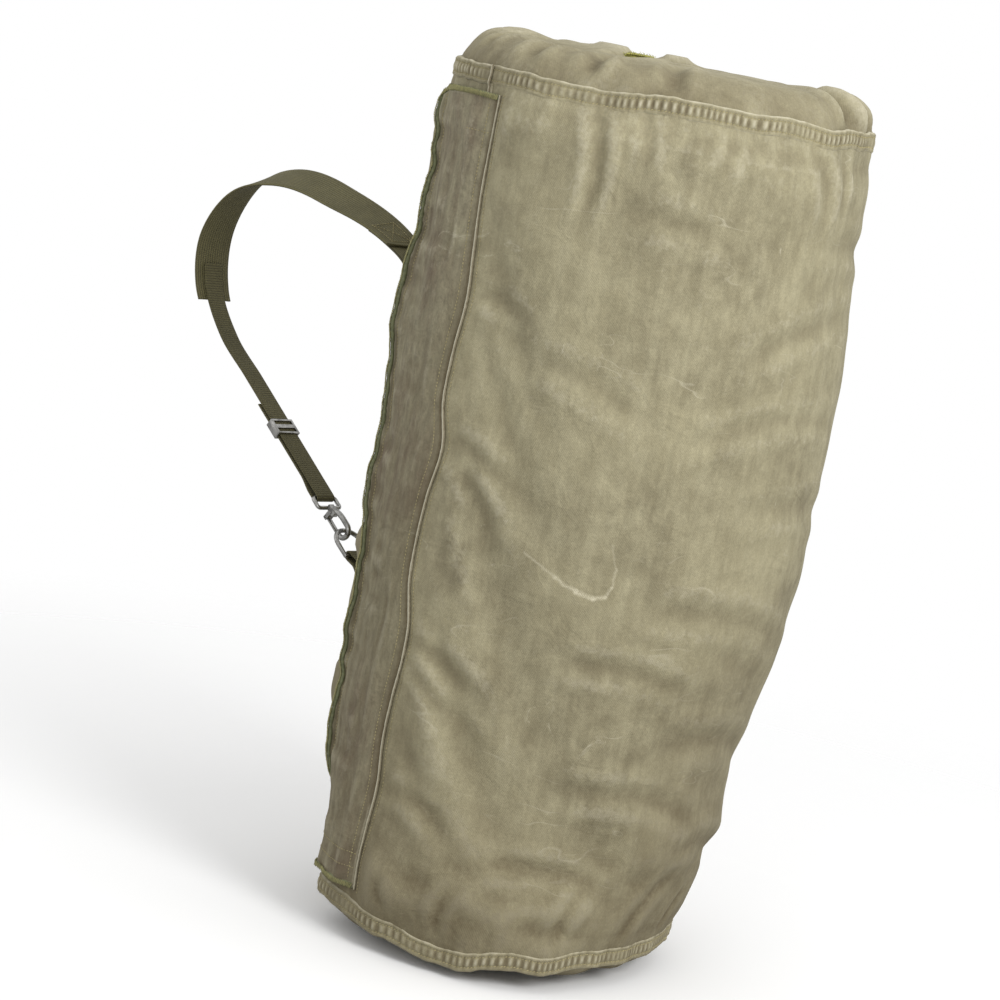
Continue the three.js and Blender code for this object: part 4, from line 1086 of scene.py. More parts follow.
# ---- The canvas body ----
def tube_azimuths():
    fine = np.arange(-76, 136, 1.18)
    coarse = np.arange(136, 284, 2.2)
    azimuths = np.concatenate([fine, coarse])
    for edge in (ZIP_AZIMUTH - SLIT_HALF, ZIP_AZIMUTH + SLIT_HALF):
        azimuths[np.argmin(np.abs(azimuths - edge))] = edge
    return azimuths


def tube_heights():
    heights = np.concatenate([
        np.linspace(BOTTOM_SEAM, BOTTOM_SEAM + 0.024, 11),
        np.linspace(BOTTOM_SEAM + 0.024, TOP_SEAM - 0.022, 162)[1:],
        np.linspace(TOP_SEAM - 0.022, TOP_SEAM, 10)[1:],
    ])
    for edge in SLIT:
        heights[np.argmin(np.abs(heights - edge))] = edge
    return heights


def cloth_values(points, azimuth, z):
    """How worn, gathered and darkened the canvas is at each point of a grid, from its relief. The darkening is painted
    shade in its hollows and beside the flap, and grows towards the bottom.
    """
    radius = np.hypot(points[..., 0], points[..., 1])
    blurred = radius.copy()
    for _ in range(6):
        blurred = (
            blurred
            + np.roll(blurred, 1, 1) + np.roll(blurred, -1, 1)
            + np.vstack([blurred[:1], blurred[:-1]]) + np.vstack([blurred[1:], blurred[-1:]])
        ) / 5
    raised = np.clip((radius - blurred) / 0.0011, -1, 1)
    seam = np.minimum(np.abs(z - BOTTOM_SEAM), np.abs(TOP_SEAM - z))
    worn = np.clip(0.28 * np.maximum(raised, 0) + 0.14 * np.exp(-seam / 0.02), 0, 1)
    # Darker towards the bottom, and low on the right side.
    low = (0.55 - 0.2 * smoothstep(20, 55, azimuth)) * (1 - smoothstep(0.03, 0.22, z))
    low = low + 0.22 * (1 - smoothstep(0.15, 0.65, z))
    low = low + 0.22 * smoothstep(60, 85, azimuth) * (1 - smoothstep(0.20, 0.50, z))
    # Painted shade: a darker strip beside the flap's free edge, where the bag's side turns into shade.
    beside_flap = 0.40 * smoothstep(37, 41, -azimuth) * (1 - smoothstep(58, 75, -azimuth))
    # Painted shade in the hollows between the folds.
    soiled = np.clip(0.30 * np.maximum(-raised, 0) + low + beside_flap, 0, 1)
    gather = np.exp(-seam / 0.011)
    return worn, soiled, gather


class DUFFEL_OT_tube(bpy.types.Operator):
    """Makes the canvas tube, slit for its zip"""

    bl_idname = "duffel.tube"
    bl_label = "Canvas Tube"

    def execute(self, context):
        azimuths, heights = tube_azimuths(), tube_heights()
        azimuth, z = np.meshgrid(azimuths, heights)
        points = tube_point(azimuth, z)
        columns = len(azimuths)
        faces = grid_faces(len(heights), columns, round_columns=True)
        row, column = faces[:, 0] // columns, faces[:, 0] % columns
        middle = (azimuths[column] + azimuths[(column + 1) % columns]) / 2
        level = (heights[row] + heights[np.minimum(row + 1, len(heights) - 1)]) / 2
        in_slit = (np.abs(middle - ZIP_AZIMUTH) < SLIT_HALF) & (level > SLIT[0]) & (level < SLIT[1])
        faces = faces[~in_slit]
        uv = np.stack([azimuth * DEG * RADIUS, z], -1)
        worn, soiled, gather = cloth_values(points, azimuth, z)
        made = mesh_object(
            "canvas_tube", points, faces, uv, 2 * math.pi * RADIUS, worn=worn, soiled=soiled, gather=gather
        )
        thicken(made, CANVAS)
        finish_piece(made, MATERIALS["canvas"], replaces=["main_panel"])
        return {"FINISHED"}


def end_panel_points(azimuth, share, top):
    """An end panel. share runs from 0 at its seam to 1 at its middle."""
    seam, face, rounding, reach = BOTTOM_SEAM, 0.0, 0.028, 0.050
    if top:
        seam, face, rounding, reach = TOP_SEAM, BAG_HEIGHT - 8 * MM, 0.032, 0.038
    rim = canvas_radius(azimuth, seam)
    corner = np.clip(share / 0.30, 0, 1) * math.pi / 2
    fall = np.clip((share - 0.30) / 0.70, 0, 1)
    straight = abs(face - seam) - rounding
    radius = np.where(share < 0.30, rim - reach * (1 - np.cos(corner)), (rim - reach) * (1 - fall))
    rise = (rounding * np.sin(corner) + straight * smoothstep(0, 0.30, share)) * np.sign(face - seam)
    z = seam + rise
    if not top:
        z = z + 0.011 * smoothstep(0.50, 0.92, radius / rim) * smoothstep(0, 0.040, rim - radius)
    points = on_bag(azimuth, radius, z)
    settings = bpy.context.scene.duffel_canvas
    from_rim = np.hypot(rim - radius, z - seam)
    flat = on_bag(azimuth, RADIUS, 0.0)
    puckers = noise_field(flat, 0.013, 31) * 0.0012 * np.exp(-from_rim / 0.016)
    puckers = puckers + noise_field(flat, 0.032, 32) * 0.0042 * np.exp(-from_rim / 0.045)
    puckers = puckers * settings.seam_folds * smoothstep(0, 0.012, from_rim)
    outwards = unit(np.stack([
        np.sin(azimuth * DEG) * np.cos(corner),
        -np.cos(azimuth * DEG) * np.cos(corner),
        np.sin(corner) * np.sign(face - seam),
    ], -1))
    lift = puckers - 0.0016 * np.exp(-((from_rim / 0.009) ** 2))
    if top:
        plan = points[..., :2]
        lift = lift + crease_relief(plan, TOP_CREASES, np.array([MM, MM])) * smoothstep(0.004, 0.03, from_rim)
        lift = lift + noise_field(points * [1, 1, 0], 0.085, 33) * 0.007 * smoothstep(0.01, 0.06, from_rim)
        lift = lift + 0.006 * np.exp(-(((plan[..., 0] + 0.115) / 0.07) ** 2 + ((plan[..., 1] - 0.02) / 0.10) ** 2))
        lift = np.minimum(lift, 0.012)
    else:
        lift = np.where(from_rim > 0.04, np.minimum(lift, 0), lift)
    points = points + outwards * lift[..., None]
    shift = band_shift(azimuth, seam) * (1 - smoothstep(0, 0.03, from_rim))
    points[..., 2] += shift
    if not top:
        points[..., 2] = np.maximum(points[..., 2], 0)
    return points, from_rim, lift


def end_panel(name, top, node):
    azimuths = np.arange(0, 360, 1.5)
    shares = np.concatenate([np.linspace(0, 0.30, 16), np.linspace(0.30, 0.99, 40)[1:]])
    azimuth, share = np.meshgrid(azimuths, shares)
    points, from_rim, lift = end_panel_points(azimuth, share, top)
    rows, columns = azimuth.shape
    faces = grid_faces(rows, columns, round_columns=True)
    if not top:
        faces = faces[:, ::-1]
    centre = points[-1].mean(0)
    flat_points = np.vstack([points.reshape(-1, 3), centre])
    last = (rows - 1) * columns
    ring = [[last + i, last + (i + 1) % columns, rows * columns] for i in range(columns)]
    ring = ring if top else [face[::-1] for face in ring]
    worn = np.clip(0.35 * np.exp(-from_rim / 0.012) + 40 * np.maximum(lift, 0), 0, 0.7)
    # The lower panel is darker all over; the upper one gets painted shade in its creases and hollows, where its lift is
    # low.
    soiled = np.full(worn.shape, 0.75) if not top else np.clip(0.42 - lift * 60, 0, 0.85)
    gather = np.exp(-from_rim / 0.012)
    values = {
        key: np.append(value.ravel(), value[-1].mean())
        for key, value in (("worn", worn), ("soiled", soiled), ("gather", gather))
    }
    made = mesh_object(name, flat_points, faces.tolist() + ring, flat_points[:, :2], **values)
    thicken(made, CANVAS)
    return finish_piece(made, MATERIALS["canvas"], replaces=[node])


class DUFFEL_OT_end_panels(bpy.types.Operator):
    """Makes the gathered upper end panel with its tab, and the lower end panel"""

    bl_idname = "duffel.end_panels"
    bl_label = "End Panels"

    def execute(self, context):
        end_panel("upper_end", True, "top_panel")
        end_panel("lower_end", False, "bottom_panel")
        self.make_tab()
        return {"FINISHED"}

    def make_tab(self):
        low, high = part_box("top_tab")
        middle = (low + high) / 2
        turn = 40 * DEG
        along = np.array([math.cos(turn), math.sin(turn), 0])
        across = np.array([-along[1], along[0], 0])
        width, height = 36 * MM, high.z - low.z + 18 * MM
        share = np.linspace(-0.5, 0.5, 41)
        level = np.linspace(0, 1, 9)
        s, t = np.meshgrid(share, level)
        wave = noise_field(np.stack([s * 0.04, t * 0.01, 0 * s], -1), 0.009, 41) * 0.0022
        base = np.array([middle.x, middle.y, low.z - 25 * MM])
        points = base + along * (s * width)[..., None] + across * (wave * t)[..., None]
        points = points + np.array([0, 0, 1]) * (t * height * (1 - 0.25 * (2 * s) ** 6))[..., None]
        made = mesh_object("upper_tab", points, grid_faces(*s.shape), np.stack([s * width, t * height], -1))
        thicken(made, 1.8 * MM)
        finish_piece(made, MATERIALS["tab"], replaces=["top_tab"])
        edge = points[-1] + np.array([0, 0, -1.6 * MM])
        loops = [(edge + across * offset, (0, 0, 1)) for offset in (-2.6 * MM, 0.8 * MM)]
        sew("upper_tab_overlock", loops, "tab", "edge_thread", pitch=2.0, length=5.4, thickness=1.7, slant=1.2, seed=5)
        grow_fibres("upper_tab_fibres", loops, "tab", "edge_thread", pitch=1.0, length=3.5, thickness=0.45, seed=6)


def band_section(columns_azimuth, seam):
    """The seam band as a closed section round the bag: (points, section places)."""
    across = np.array([-9.5, -9.0, -7.4, -5.6, -5.0, -4.4, -2, 0, 2, 4.4, 5.0, 5.6, 7.4, 9.0, 9.5]) * MM
    raised = np.array([0.1, 1.0, 2.0, 1.7, 1.2, 1.7, 2.2, 2.3, 2.2, 1.7, 1.2, 1.7, 2.0, 1.0, 0.1]) * MM
    azimuth, v = np.meshgrid(columns_azimuth, across)
    depth = np.broadcast_to(raised[:, None], azimuth.shape)
    ring = on_bag(azimuth, RADIUS, 0.0)
    fine = noise_field(ring + [0, 0, 0.5], 0.0062, 51)
    coarse = noise_field(ring + [0, 0, 0.5], 0.018, 52)
    ripple = np.sin(GATHERS * azimuth * DEG + 7 * noise_field(ring + [0, 0, 0.5], 0.030, 54))
    strength = 0.65 + 0.5 * noise_field(ring + [0, 0, 0.5], 0.045, 55)
    bead = strength * np.clip(ripple, 0, 1) * np.exp(-((v / (3.6 * MM)) ** 2))
    pit = strength * np.clip(-ripple, 0, 1) * np.exp(-((v / (4.6 * MM)) ** 2))
    pucker = (0.8 * bead - 1.1 * pit + 0.3 * strength * ripple + 0.40 * fine + 0.5 * coarse) * MM
    edge = noise_field(ring + [0, 0, 0.2], 0.010, 53) * 0.8 * MM * v / 0.0095
    z = seam + v * (BAND_HALF / (9 * MM)) + edge
    base = canvas_radius(azimuth, seam + 0 * v)
    tube = canvas_radius(azimuth, np.clip(z, BOTTOM_SEAM, TOP_SEAM))
    base = 0.5 * base + 0.5 * tube
    radius = base + 0.3 * MM + depth + pucker * np.clip(depth / MM, 0, 1)
    points = on_bag(azimuth, radius, z + band_shift(azimuth, seam))
    inner = on_bag(azimuth[[-1, 0]], base[[-1, 0]] - 0.9 * MM, (z + band_shift(azimuth, seam))[[-1, 0]])
    pale = 0.75 + 0.5 * fine
    edge_worn = 0.70 * pale * smoothstep(8.4 * MM, 9.0 * MM, v) + 0.45 * pale * smoothstep(8.4 * MM, 9.0 * MM, -v)
    # Pale along its worn edges, and on the pucker crests: there partly rubbed wear, partly painted highlight.
    worn = np.clip(0.05 + edge_worn + 0.85 * bead, 0, 1)
    # Painted shade in the hollows between the puckers.
    soiled = np.clip(0.10 + 1.1 * pit - 0.15 * pucker / MM, 0, 0.85) * (np.abs(v) < 8 * MM)
    # The lower band is darker.
    soiled = np.clip(soiled + 0.25 * (seam < 0.5), 0, 0.85)
    return points, inner, worn, soiled, azimuth, v


class DUFFEL_OT_seams(bpy.types.Operator):
    """Makes the two puckered seam bands with their stitches, and the closing seam"""

    bl_idname = "duffel.seams"
    bl_label = "Seam Bands"

    def execute(self, context):
        for name, seam, node in (
            ("upper_seam_band", TOP_SEAM, "top_seam_band"),
            ("lower_seam_band", BOTTOM_SEAM, "bottom_seam_band"),
        ):
            self.make_band(name, seam, node)
        self.make_closing_seam()
        return {"FINISHED"}

    def make_band(self, name, seam, node):
        azimuths = np.arange(0, 360, 0.3)
        points, inner, worn, soiled, azimuth, v = band_section(azimuths, seam)
        points = np.concatenate([points, inner])
        worn = np.concatenate([worn, np.zeros_like(azimuth[:2])])
        soiled = np.concatenate([soiled, np.zeros_like(azimuth[:2])])
        uv = np.stack([np.concatenate([azimuth, azimuth[:2]]) * DEG * RADIUS, np.concatenate([v, v[[-1, 0]]])], -1)
        faces = grid_faces(len(points), len(azimuths), round_columns=True, round_rows=True)
        made = mesh_object(name, points, faces, uv, 2 * math.pi * RADIUS, worn=worn, soiled=soiled, gather=0 * worn)
        finish_piece(made, MATERIALS["seam"], replaces=[node])
        lines = []
        for row in (4, 10):
            line = np.vstack([points[row], points[row][:1]])
            out = unit(line * [1, 1, 0])
            lines.append((line + out * 0.35 * MM, out))
        sew(
            name + "_stitches", lines, "thread", "seam_canvas",
            pitch=3.4, length=2.9, thickness=1.1, slant=0.45, seed=3,
        )

    def make_closing_seam(self):
        z = np.linspace(FLAP_TOP - 4 * MM, TOP_SEAM - BAND_HALF + 1 * MM, 12)
        across = np.linspace(-4, 4, 9) * MM
        side, level = np.meshgrid(across, z)
        azimuth = FLAP_HINGE - 5 + side / RADIUS / DEG
        bow = 1.3 * MM * (1 - (side / (4 * MM)) ** 4)
        points = tube_point(azimuth, level, 0.2 * MM + bow)
        made = mesh_object(
            "closing_seam_fold", points, grid_faces(*side.shape), np.stack([side, level], -1),
            worn=0.30 + 0 * side, soiled=0 * side, gather=0 * side,
        )
        thicken(made, 1.2 * MM)
        finish_piece(made, MATERIALS["seam"], replaces=["closing_seam"])
        level = np.linspace(FLAP_TOP - 2 * MM, TOP_SEAM + BAND_HALF + 1 * MM, 60)
        over = smoothstep(TOP_SEAM - BAND_HALF - 3 * MM, TOP_SEAM - BAND_HALF + 2 * MM, level)
        centre = tube_point(FLAP_HINGE - 5 + 0 * level, np.minimum(level, TOP_SEAM), (2.0 + 1.6 * over) * MM)
        centre[:, 2] = level + band_shift(FLAP_HINGE - 5, TOP_SEAM) * over
        cord = cord_mesh("closing_seam_cord", centre, 1.3 * MM)
        finish_piece(cord, MATERIALS["piping"])
        line = points[:, 2]
        sew("closing_seam_stitches", [(line + unit(line * [1, 1, 0]) * 0.3 * MM, unit(line * [1, 1, 0]))],
            "thread", "seam_canvas", pitch=2.6, length=2, thickness=0.8)


# ---- The storm flap ----
def flap_point(across, z, lift=0.0):
    """A point on the flap, from 0 at its seam to 1 at its free edge."""
    across, z = np.broadcast_arrays(np.asarray(across, float), np.asarray(z, float))
    root = seam_azimuth(z) - 1.7 * MM / RADIUS / DEG
    wave = on_bag(FLAP_EDGE, RADIUS, z)
    edge = FLAP_EDGE + (noise_field(wave, 0.055, 61) * 2.5 + noise_field(wave, 0.020, 62) * 1.6) * MM / RADIUS / DEG
    edge = edge + through(EDGE_DRAWN, z) / RADIUS / DEG
    azimuth = root + (edge - root) * across
    rise = smoothstep(0.0, 0.26, across)
    stand = FLAP_STANDOFF + (through(EDGE_LIFT, z) - FLAP_STANDOFF) * smoothstep(0.50, 1.0, across)
    stand = stand - RADIUS * corner_tuck(azimuth, z)
    over_pull = ((azimuth - ZIP_AZIMUTH) / 5) ** 2 + ((z - PULL_HEIGHT) / 0.034) ** 2
    stand = stand + PULL_ROOM * np.exp(-over_pull)
    curl = 1 + 0.35 * noise_field(wave, 0.06, 67)
    stand = stand + 5.0 * MM * curl * np.clip((across - 0.925) / 0.075, 0, 1) ** 1.6
    over_zip = smoothstep(SLIT[0] - 0.01, SLIT[0] + 0.01, z) * (1 - smoothstep(SLIT[1] - 0.01, SLIT[1] + 0.01, z))
    print_at = across - 0.24 - 0.03 * noise_field(wave, 0.06, 68)
    broken = over_zip * np.clip(0.5 + 0.9 * noise_field(wave, 0.035, 69), 0, 1)
    zip_print = np.exp(-((print_at / 0.03) ** 2)) - 0.6 * np.exp(-(((print_at - 0.07) / 0.03) ** 2))
    stand = stand + 1.2 * MM * broken * zip_print
    around = on_bag(azimuth, RADIUS, z)
    folds = noise_field(around * [1, 1, 0.25], 0.012, 63) * 1.4 * MM
    folds = folds + noise_field(around * [1, 1, 0.5], 0.040, 64) * 2.2 * MM
    folds = folds * smoothstep(0.05, 0.3, across)
    kinks = noise_field(around * [1, 1, 1.6], 0.026, 65) * 2.0 * MM * smoothstep(0.15, 0.6, across)
    radius = HINGE_RADIUS + (RADIUS + stand - HINGE_RADIUS) * rise + folds + kinks + lift
    return on_bag(azimuth, radius, z)


def flap_blend(made):
    """Frees a flap piece from its parent and bakes its place into its mesh."""
    start = on_bag(FLAP_HINGE - 1.0, HINGE_RADIUS, 0.45)
    end = on_bag(FLAP_HINGE - 5.5, HINGE_RADIUS, 0.45)
    made.parent = None
    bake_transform(made)
    return made


class DUFFEL_OT_flap(bpy.types.Operator):
    """Makes the storm flap with its overlocked edge, its hem stitches and the piping at its seam"""

    bl_idname = "duffel.flap"
    bl_label = "Storm Flap"

    def execute(self, context):
        heights = np.linspace(FLAP_BOTTOM + 1 * MM, FLAP_TOP - 1 * MM, 330)
        shares = np.linspace(0, 1, 50)
        share, z = np.meshgrid(shares, heights)
        corner = 15 * MM * (1 - np.sqrt(1 - np.clip((share - 0.87) / 0.13, 0, 0.995) ** 2))
        z = z - corner * smoothstep(FLAP_TOP - 0.06, FLAP_TOP, z)
        z = z + corner * (1 - smoothstep(FLAP_BOTTOM, FLAP_BOTTOM + 0.06, z))
        points = flap_point(share, z)
        points[..., 2] += (noise_field(points * [1, 1, 0], 0.03, 66) * 2.0 * MM) * (
            smoothstep(0.78, 0.84, z) - (1 - smoothstep(0.06, 0.12, z)))
        raised = np.hypot(points[..., 0], points[..., 1])
        above_below = raised + np.roll(raised, 3, 0) + np.roll(raised, -3, 0)
        blurred = (above_below + np.roll(raised, 2, 1) + np.roll(raised, -2, 1)) / 5
        relief = np.clip((raised - blurred) / (0.5 * MM), -1, 1)
        worn = np.clip(0.35 * relief + 0.35 * smoothstep(0.9, 1, share), 0, 0.8)
        # Painted shade in the flap's hollows, and darker along its seam.
        soiled = np.clip(-0.45 * relief + 0.25 * (1 - smoothstep(0.0, 0.08, share)), 0, 0.8)
        # Darker towards the bottom.
        soiled = np.clip(soiled + 0.38 * (1 - smoothstep(0.40, 0.78, z)), 0, 0.9)
        uv = np.stack([-share * 0.116, z], -1)
        faces = grid_faces(*share.shape)[:, ::-1]
        gather = 0.25 * smoothstep(0.85, 1, share)
        made = mesh_object("storm_flap", points, faces, uv, worn=worn, soiled=soiled, gather=gather)
        thicken(made, 1.8 * MM)
        finish_piece(made, MATERIALS["flap"], body=None, replaces=["flap_panel"])
        flap_blend(made)
        parts = self.make_edge(points) + self.make_stitches(points)
        self.make_piping()
        return {"FINISHED"}

    def make_edge(self, points):
        """A rolled, overlocked border along the top, the free edge and the bottom."""
        path = np.concatenate([points[-1, ::2], points[::-2, -1][1:-1], points[0, ::-2]])
        inward = np.concatenate([
            points[-6, ::2] - points[-1, ::2],
            (points[::-2, -4] - points[::-2, -1])[1:-1],
            points[5, ::-2] - points[0, ::-2],
        ])
        inward = unit(inward)
        out = unit(path * [1, 1, 0])
        side = unit(inward - out * np.sum(inward * out, -1, keepdims=True))
        turns = np.linspace(0, 2 * math.pi, 13)[:-1]
        bulge = 1 + 0.25 * noise_field(path, 0.006, 71)
        rings = [
            path + side * (3.0 * MM * (math.cos(a) + 0.55) * bulge)[:, None]
            + out * ((2.1 * math.sin(a) * bulge - 0.9) * MM)[:, None]
            for a in turns
        ]
        rings = np.stack(rings, 1)
        count = len(path)
        faces = grid_faces(count, len(turns), round_columns=True).tolist()
        faces += [list(range(len(turns))), [(count - 1) * len(turns) + i for i in range(len(turns))][::-1]]
        border = mesh_object("flap_border", rings, faces)
        fix_normals(border)
        finish_piece(border, MATERIALS["overlock"], body=None, replaces=["flap_edge_binding"])
        flap_blend(border)
        lines = [(path + side * (1.6 * MM) + out * (1.9 * MM), out)]
        loops = sew("flap_overlock", lines, "pale_overlock", "edge_thread", body=None, pitch=2.1, length=6.8,
                    thickness=1.5, slant=1.15, seed=8)
        flap_blend(loops)
        hairs = grow_fibres("flap_edge_fibres", [(path, unit(out - side))], "overlock", "edge_thread", body=None,
                            pitch=1.6, length=2.6, thickness=0.35, seed=9)
        flap_blend(hairs)
        return [border, loops, hairs]

    def make_stitches(self, points):
        out = unit(points * [1, 1, 0])
        lift = 0.25 * MM

        def row(index):
            return points[index] + out[index] * lift, out[index]

        lines = [
            row((slice(8, 9), slice(2, -1))), row((slice(14, 15), slice(2, -1))),
            row((slice(-16, -15), slice(2, 14))), row((slice(4, -4), slice(4, 5))), row((slice(4, -4), slice(-5, -4))),
        ]
        lines = [(line.reshape(-1, 3), way.reshape(-1, 3)) for line, way in lines]
        made = sew("flap_stitches", lines, "thread", "flap_canvas", body=None, pitch=3.4, length=2.6, seed=12)
        return [flap_blend(made)]

    def make_piping(self):
        z = np.linspace(FLAP_BOTTOM, FLAP_TOP, 420)
        centre = on_bag(seam_azimuth(z), HINGE_RADIUS - 0.7 * MM, z)
        swell = 1.35 * MM * (1 + 0.12 * noise_field(centre, 0.012, 81) + 0.12 * noise_field(centre, 0.005, 82))
        made = cord_mesh("flap_seam_piping", centre, swell)
        finish_piece(made, MATERIALS["piping"], replaces=["flap_piping"])
        line = tube_point(seam_azimuth(z) + SEAM_STITCHES / RADIUS / DEG, z, 0.35 * MM)
        lines = [(line, unit(line * [1, 1, 0]))]
        sew("flap_seam_stitches", lines, "thread", "canvas", pitch=3.4, length=2.6, thickness=0.8, seed=14)


def cord_mesh(name, centre, radius, sides=14):
    """A pale cord under thin cloth along a line on the bag, worn on top, with painted shadow on its right side along
    the groove beside it.
    """
    out = unit(centre * [1, 1, 0])
    left = np.cross(out, unit(np.gradient(centre, axis=0)))
    turns = np.linspace(0, 2 * math.pi, sides + 1)[:-1]
    radius = np.broadcast_to(radius, len(centre))[:, None]
    rings = np.stack([centre + (out * math.cos(a) + left * math.sin(a)) * radius for a in turns], 1)
    count = len(centre)
    faces = grid_faces(count, sides, round_columns=True).tolist()
    faces += [list(range(sides)), [(count - 1) * sides + i for i in range(sides)][::-1]]
    uv = np.stack(np.broadcast_arrays(turns * 2 * MM, centre[:, 2:]), -1)
    lift = np.broadcast_to(np.cos(turns), (count, sides))
    # Painted shadow on the cord's right side, for the shaded groove beside it.
    right_side_shadow = 0.95 * smoothstep(0.30, 0.75, -np.sin(turns)) + 0 * lift
    made = mesh_object(name, rings, faces, uv, worn=0.6 + 0.4 * lift, soiled=right_side_shadow, gather=0 * lift)
    fix_normals(made)
    return made


def fix_normals(made):
    """Turns the faces of a closed mesh outwards."""
    work = bmesh.new()
    work.from_mesh(made.data)
    bmesh.ops.recalc_face_normals(work, faces=work.faces)
    work.to_mesh(made.data)
    work.free()


# ---- The zip ----
def zip_frame():
    turn = ZIP_AZIMUTH * DEG
    across = np.array([math.cos(turn), math.sin(turn), 0])
    outward = np.array([math.sin(turn), -math.cos(turn), 0])
    return across, outward


class DUFFEL_OT_zip(bpy.types.Operator):
    """Makes the zip's tapes and teeth, and finishes its slider, pull and stops"""

    bl_idname = "duffel.zip"
    bl_label = "Zip"

    def execute(self, context):
        across, outward = zip_frame()
        inner = RADIUS - CANVAS
        face = inner - (20 * MM) ** 2 / inner / 2 - 0.6 * MM
        middle = face - 0.6 * MM
        for name, side in (("left", -1), ("right", 1)):
            self.make_tape(name, side, across, outward, face)
            self.make_teeth(name, side, across, outward, middle)
        for node in ("zip_slider", "zip_pull", "zip_top_stop", "zip_bottom_stop"):
            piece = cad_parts[node]
            piece.data.materials.clear()
            piece.data.materials.append(MATERIALS["zip_metal"])
        return {"FINISHED"}

    def make_tape(self, name, side, across, outward, face):
        z = np.linspace(SLIT[0] - 6 * MM, SLIT[1] + 6 * MM, 180)
        reach = np.linspace(3.5, 20, 14) * MM
        reach, level = np.meshgrid(reach, z)
        ripple = noise_field(np.stack([reach, level, 0 * level], -1), 0.03, 91) * 0.25 * MM
        points = across * (side * reach)[..., None] + outward * (face - 0.1 * MM - np.abs(ripple))[..., None]
        points = points + np.array([0, 0, 1]) * level[..., None]
        faces = grid_faces(*reach.shape)
        faces = faces if side > 0 else faces[:, ::-1]
        made = mesh_object(f"zip_tape_cloth_{name}", points, faces, np.stack([reach, level], -1))
        thicken(made, 1.0 * MM)
        finish_piece(made, MATERIALS["tape"], replaces=[f"zip_tape_{name}"])

    def make_teeth(self, name, side, across, outward, middle):
        tree = tooth_tree() if "teeth" not in TREES else TREES["teeth"]
        TREES["teeth"] = tree
        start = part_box(f"zip_teeth_{name}")[0].z + 1.2 * MM
        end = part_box(f"zip_teeth_{name}")[1].z - 1.2 * MM
        shift = 0.75 * MM if side > 0 else -0.75 * MM
        line = [
            across * (side * 1.95 * MM) + outward * middle + np.array([0, 0, level])
            for level in (start + max(shift, 0), end + min(shift, 0))
        ]
        made = lines_object(f"zip_teeth_row_{name}", [(np.array(line), outward)])
        run_tree(made, tree, {"Pitch": 3.0 * MM, "Material": MATERIALS["zip_metal"]})
        finish_piece(made, MATERIALS["zip_metal"], replaces=[f"zip_teeth_{name}"])


def tooth_tree():
    """A row of metal teeth along each line of a mesh."""
    tree, make, given, sink, even, outward = repeat_tree("zip_teeth", [])
    clamp = make("GeometryNodeMeshCube", {"Size": (1.3 * MM, 2.5 * MM, 3.3 * MM)})
    barrel = make("GeometryNodeMeshCylinder", {"Vertices": 8, "Radius": 0.9 * MM, "Depth": 3.0 * MM})
    tooth = make("GeometryNodeJoinGeometry", {0: clamp.outputs[0]})
    tree.links.new(barrel.outputs[0], tooth.inputs[0])
    rotation = facing_along(make, outward)
    return place_copies(tree, make, given, sink, Points=even, Instance=tooth.outputs[0], Rotation=rotation)


# ---- The shoulder strap, in a frame on the bag at the strap's azimuth: +X is away from the bag ----
STRAP_ORIGIN = on_bag(STRAP_AZIMUTH, RADIUS, 0.0)
OUTWARD = np.array([-math.sin(STRAP_AZIMUTH * DEG), math.cos(STRAP_AZIMUTH * DEG), 0])
ALONG_SURFACE = np.array([-OUTWARD[1], OUTWARD[0], 0])
PULL = np.array([math.cos(35 * DEG), 0, math.sin(35 * DEG)])
ABOVE_PULL = np.array([-PULL[2], 0, PULL[0]])
RING_BAR = np.array([26, 0, 343]) * MM
EYE_BAR = RING_BAR + PULL * 79.8 * MM
STRAP_THICKNESS = 2.2 * MM
NARROW_THICKNESS = 1.6 * MM
FOLD_RADIUS = 2.2 * MM + 0.3 * MM + NARROW_THICKNESS / 2 + 0.2 * MM
SEWN_DEPTH = 3.2 * MM
WEB_SPACING = 4.2 * MM


def to_bag(points):
    """From the strap's frame to the row frame."""
    return STRAP_ORIGIN + np.asarray(points) * [-1, -1, 1]


def way_to_bag(vectors):
    return np.asarray(vectors) * [-1, -1, 1]


def guide(at, turn=0.0, tilt=0.0):
    """A point on the strap's route in millimetres, and the way the strap's width runs there."""
    across = np.array([0, math.cos(tilt * DEG), -math.sin(tilt * DEG)])
    return np.array(at, float) * MM, unit(across * (1 - turn) + ALONG_SURFACE * turn)


def sewn_on(depth, z, turn=1.0):
    return guide([OUTWARD[0] * depth, OUTWARD[1] * depth, z], turn)


def spline_at(points, share):
    """A centripetal Catmull-Rom curve through the points, at shares of its spans."""
    last = len(points) - 1
    ends = np.vstack([2 * points[0] - points[1], points, 2 * points[-1] - points[-2]])
    at = np.clip(np.asarray(share) * last, 0, last)
    span = np.minimum(np.floor(at).astype(int), last - 1)
    t = (at - span)[:, None]
    p0, p1, p2, p3 = (ends[span + i] for i in range(4))
    d0, d1, d2 = (
        np.sum((b - a) ** 2, -1, keepdims=True) ** 0.25 for a, b in ((p0, p1), (p1, p2), (p2, p3))
    )
    d1 = np.where(d1 < 1e-4, 1, d1)
    d0 = np.where(d0 < 1e-4, d1, d0)
    d2 = np.where(d2 < 1e-4, d1, d2)
    t1 = ((p1 - p0) / d0 - (p2 - p0) / (d0 + d1) + (p2 - p1) / d1) * d1
    t2 = ((p2 - p1) / d1 - (p3 - p1) / (d1 + d2) + (p3 - p2) / d2) * d1
    return p1 + t1 * t + (-3 * p1 + 3 * p2 - 2 * t1 - t2) * t**2 + (2 * p1 - 2 * p2 + t1 + t2) * t**3


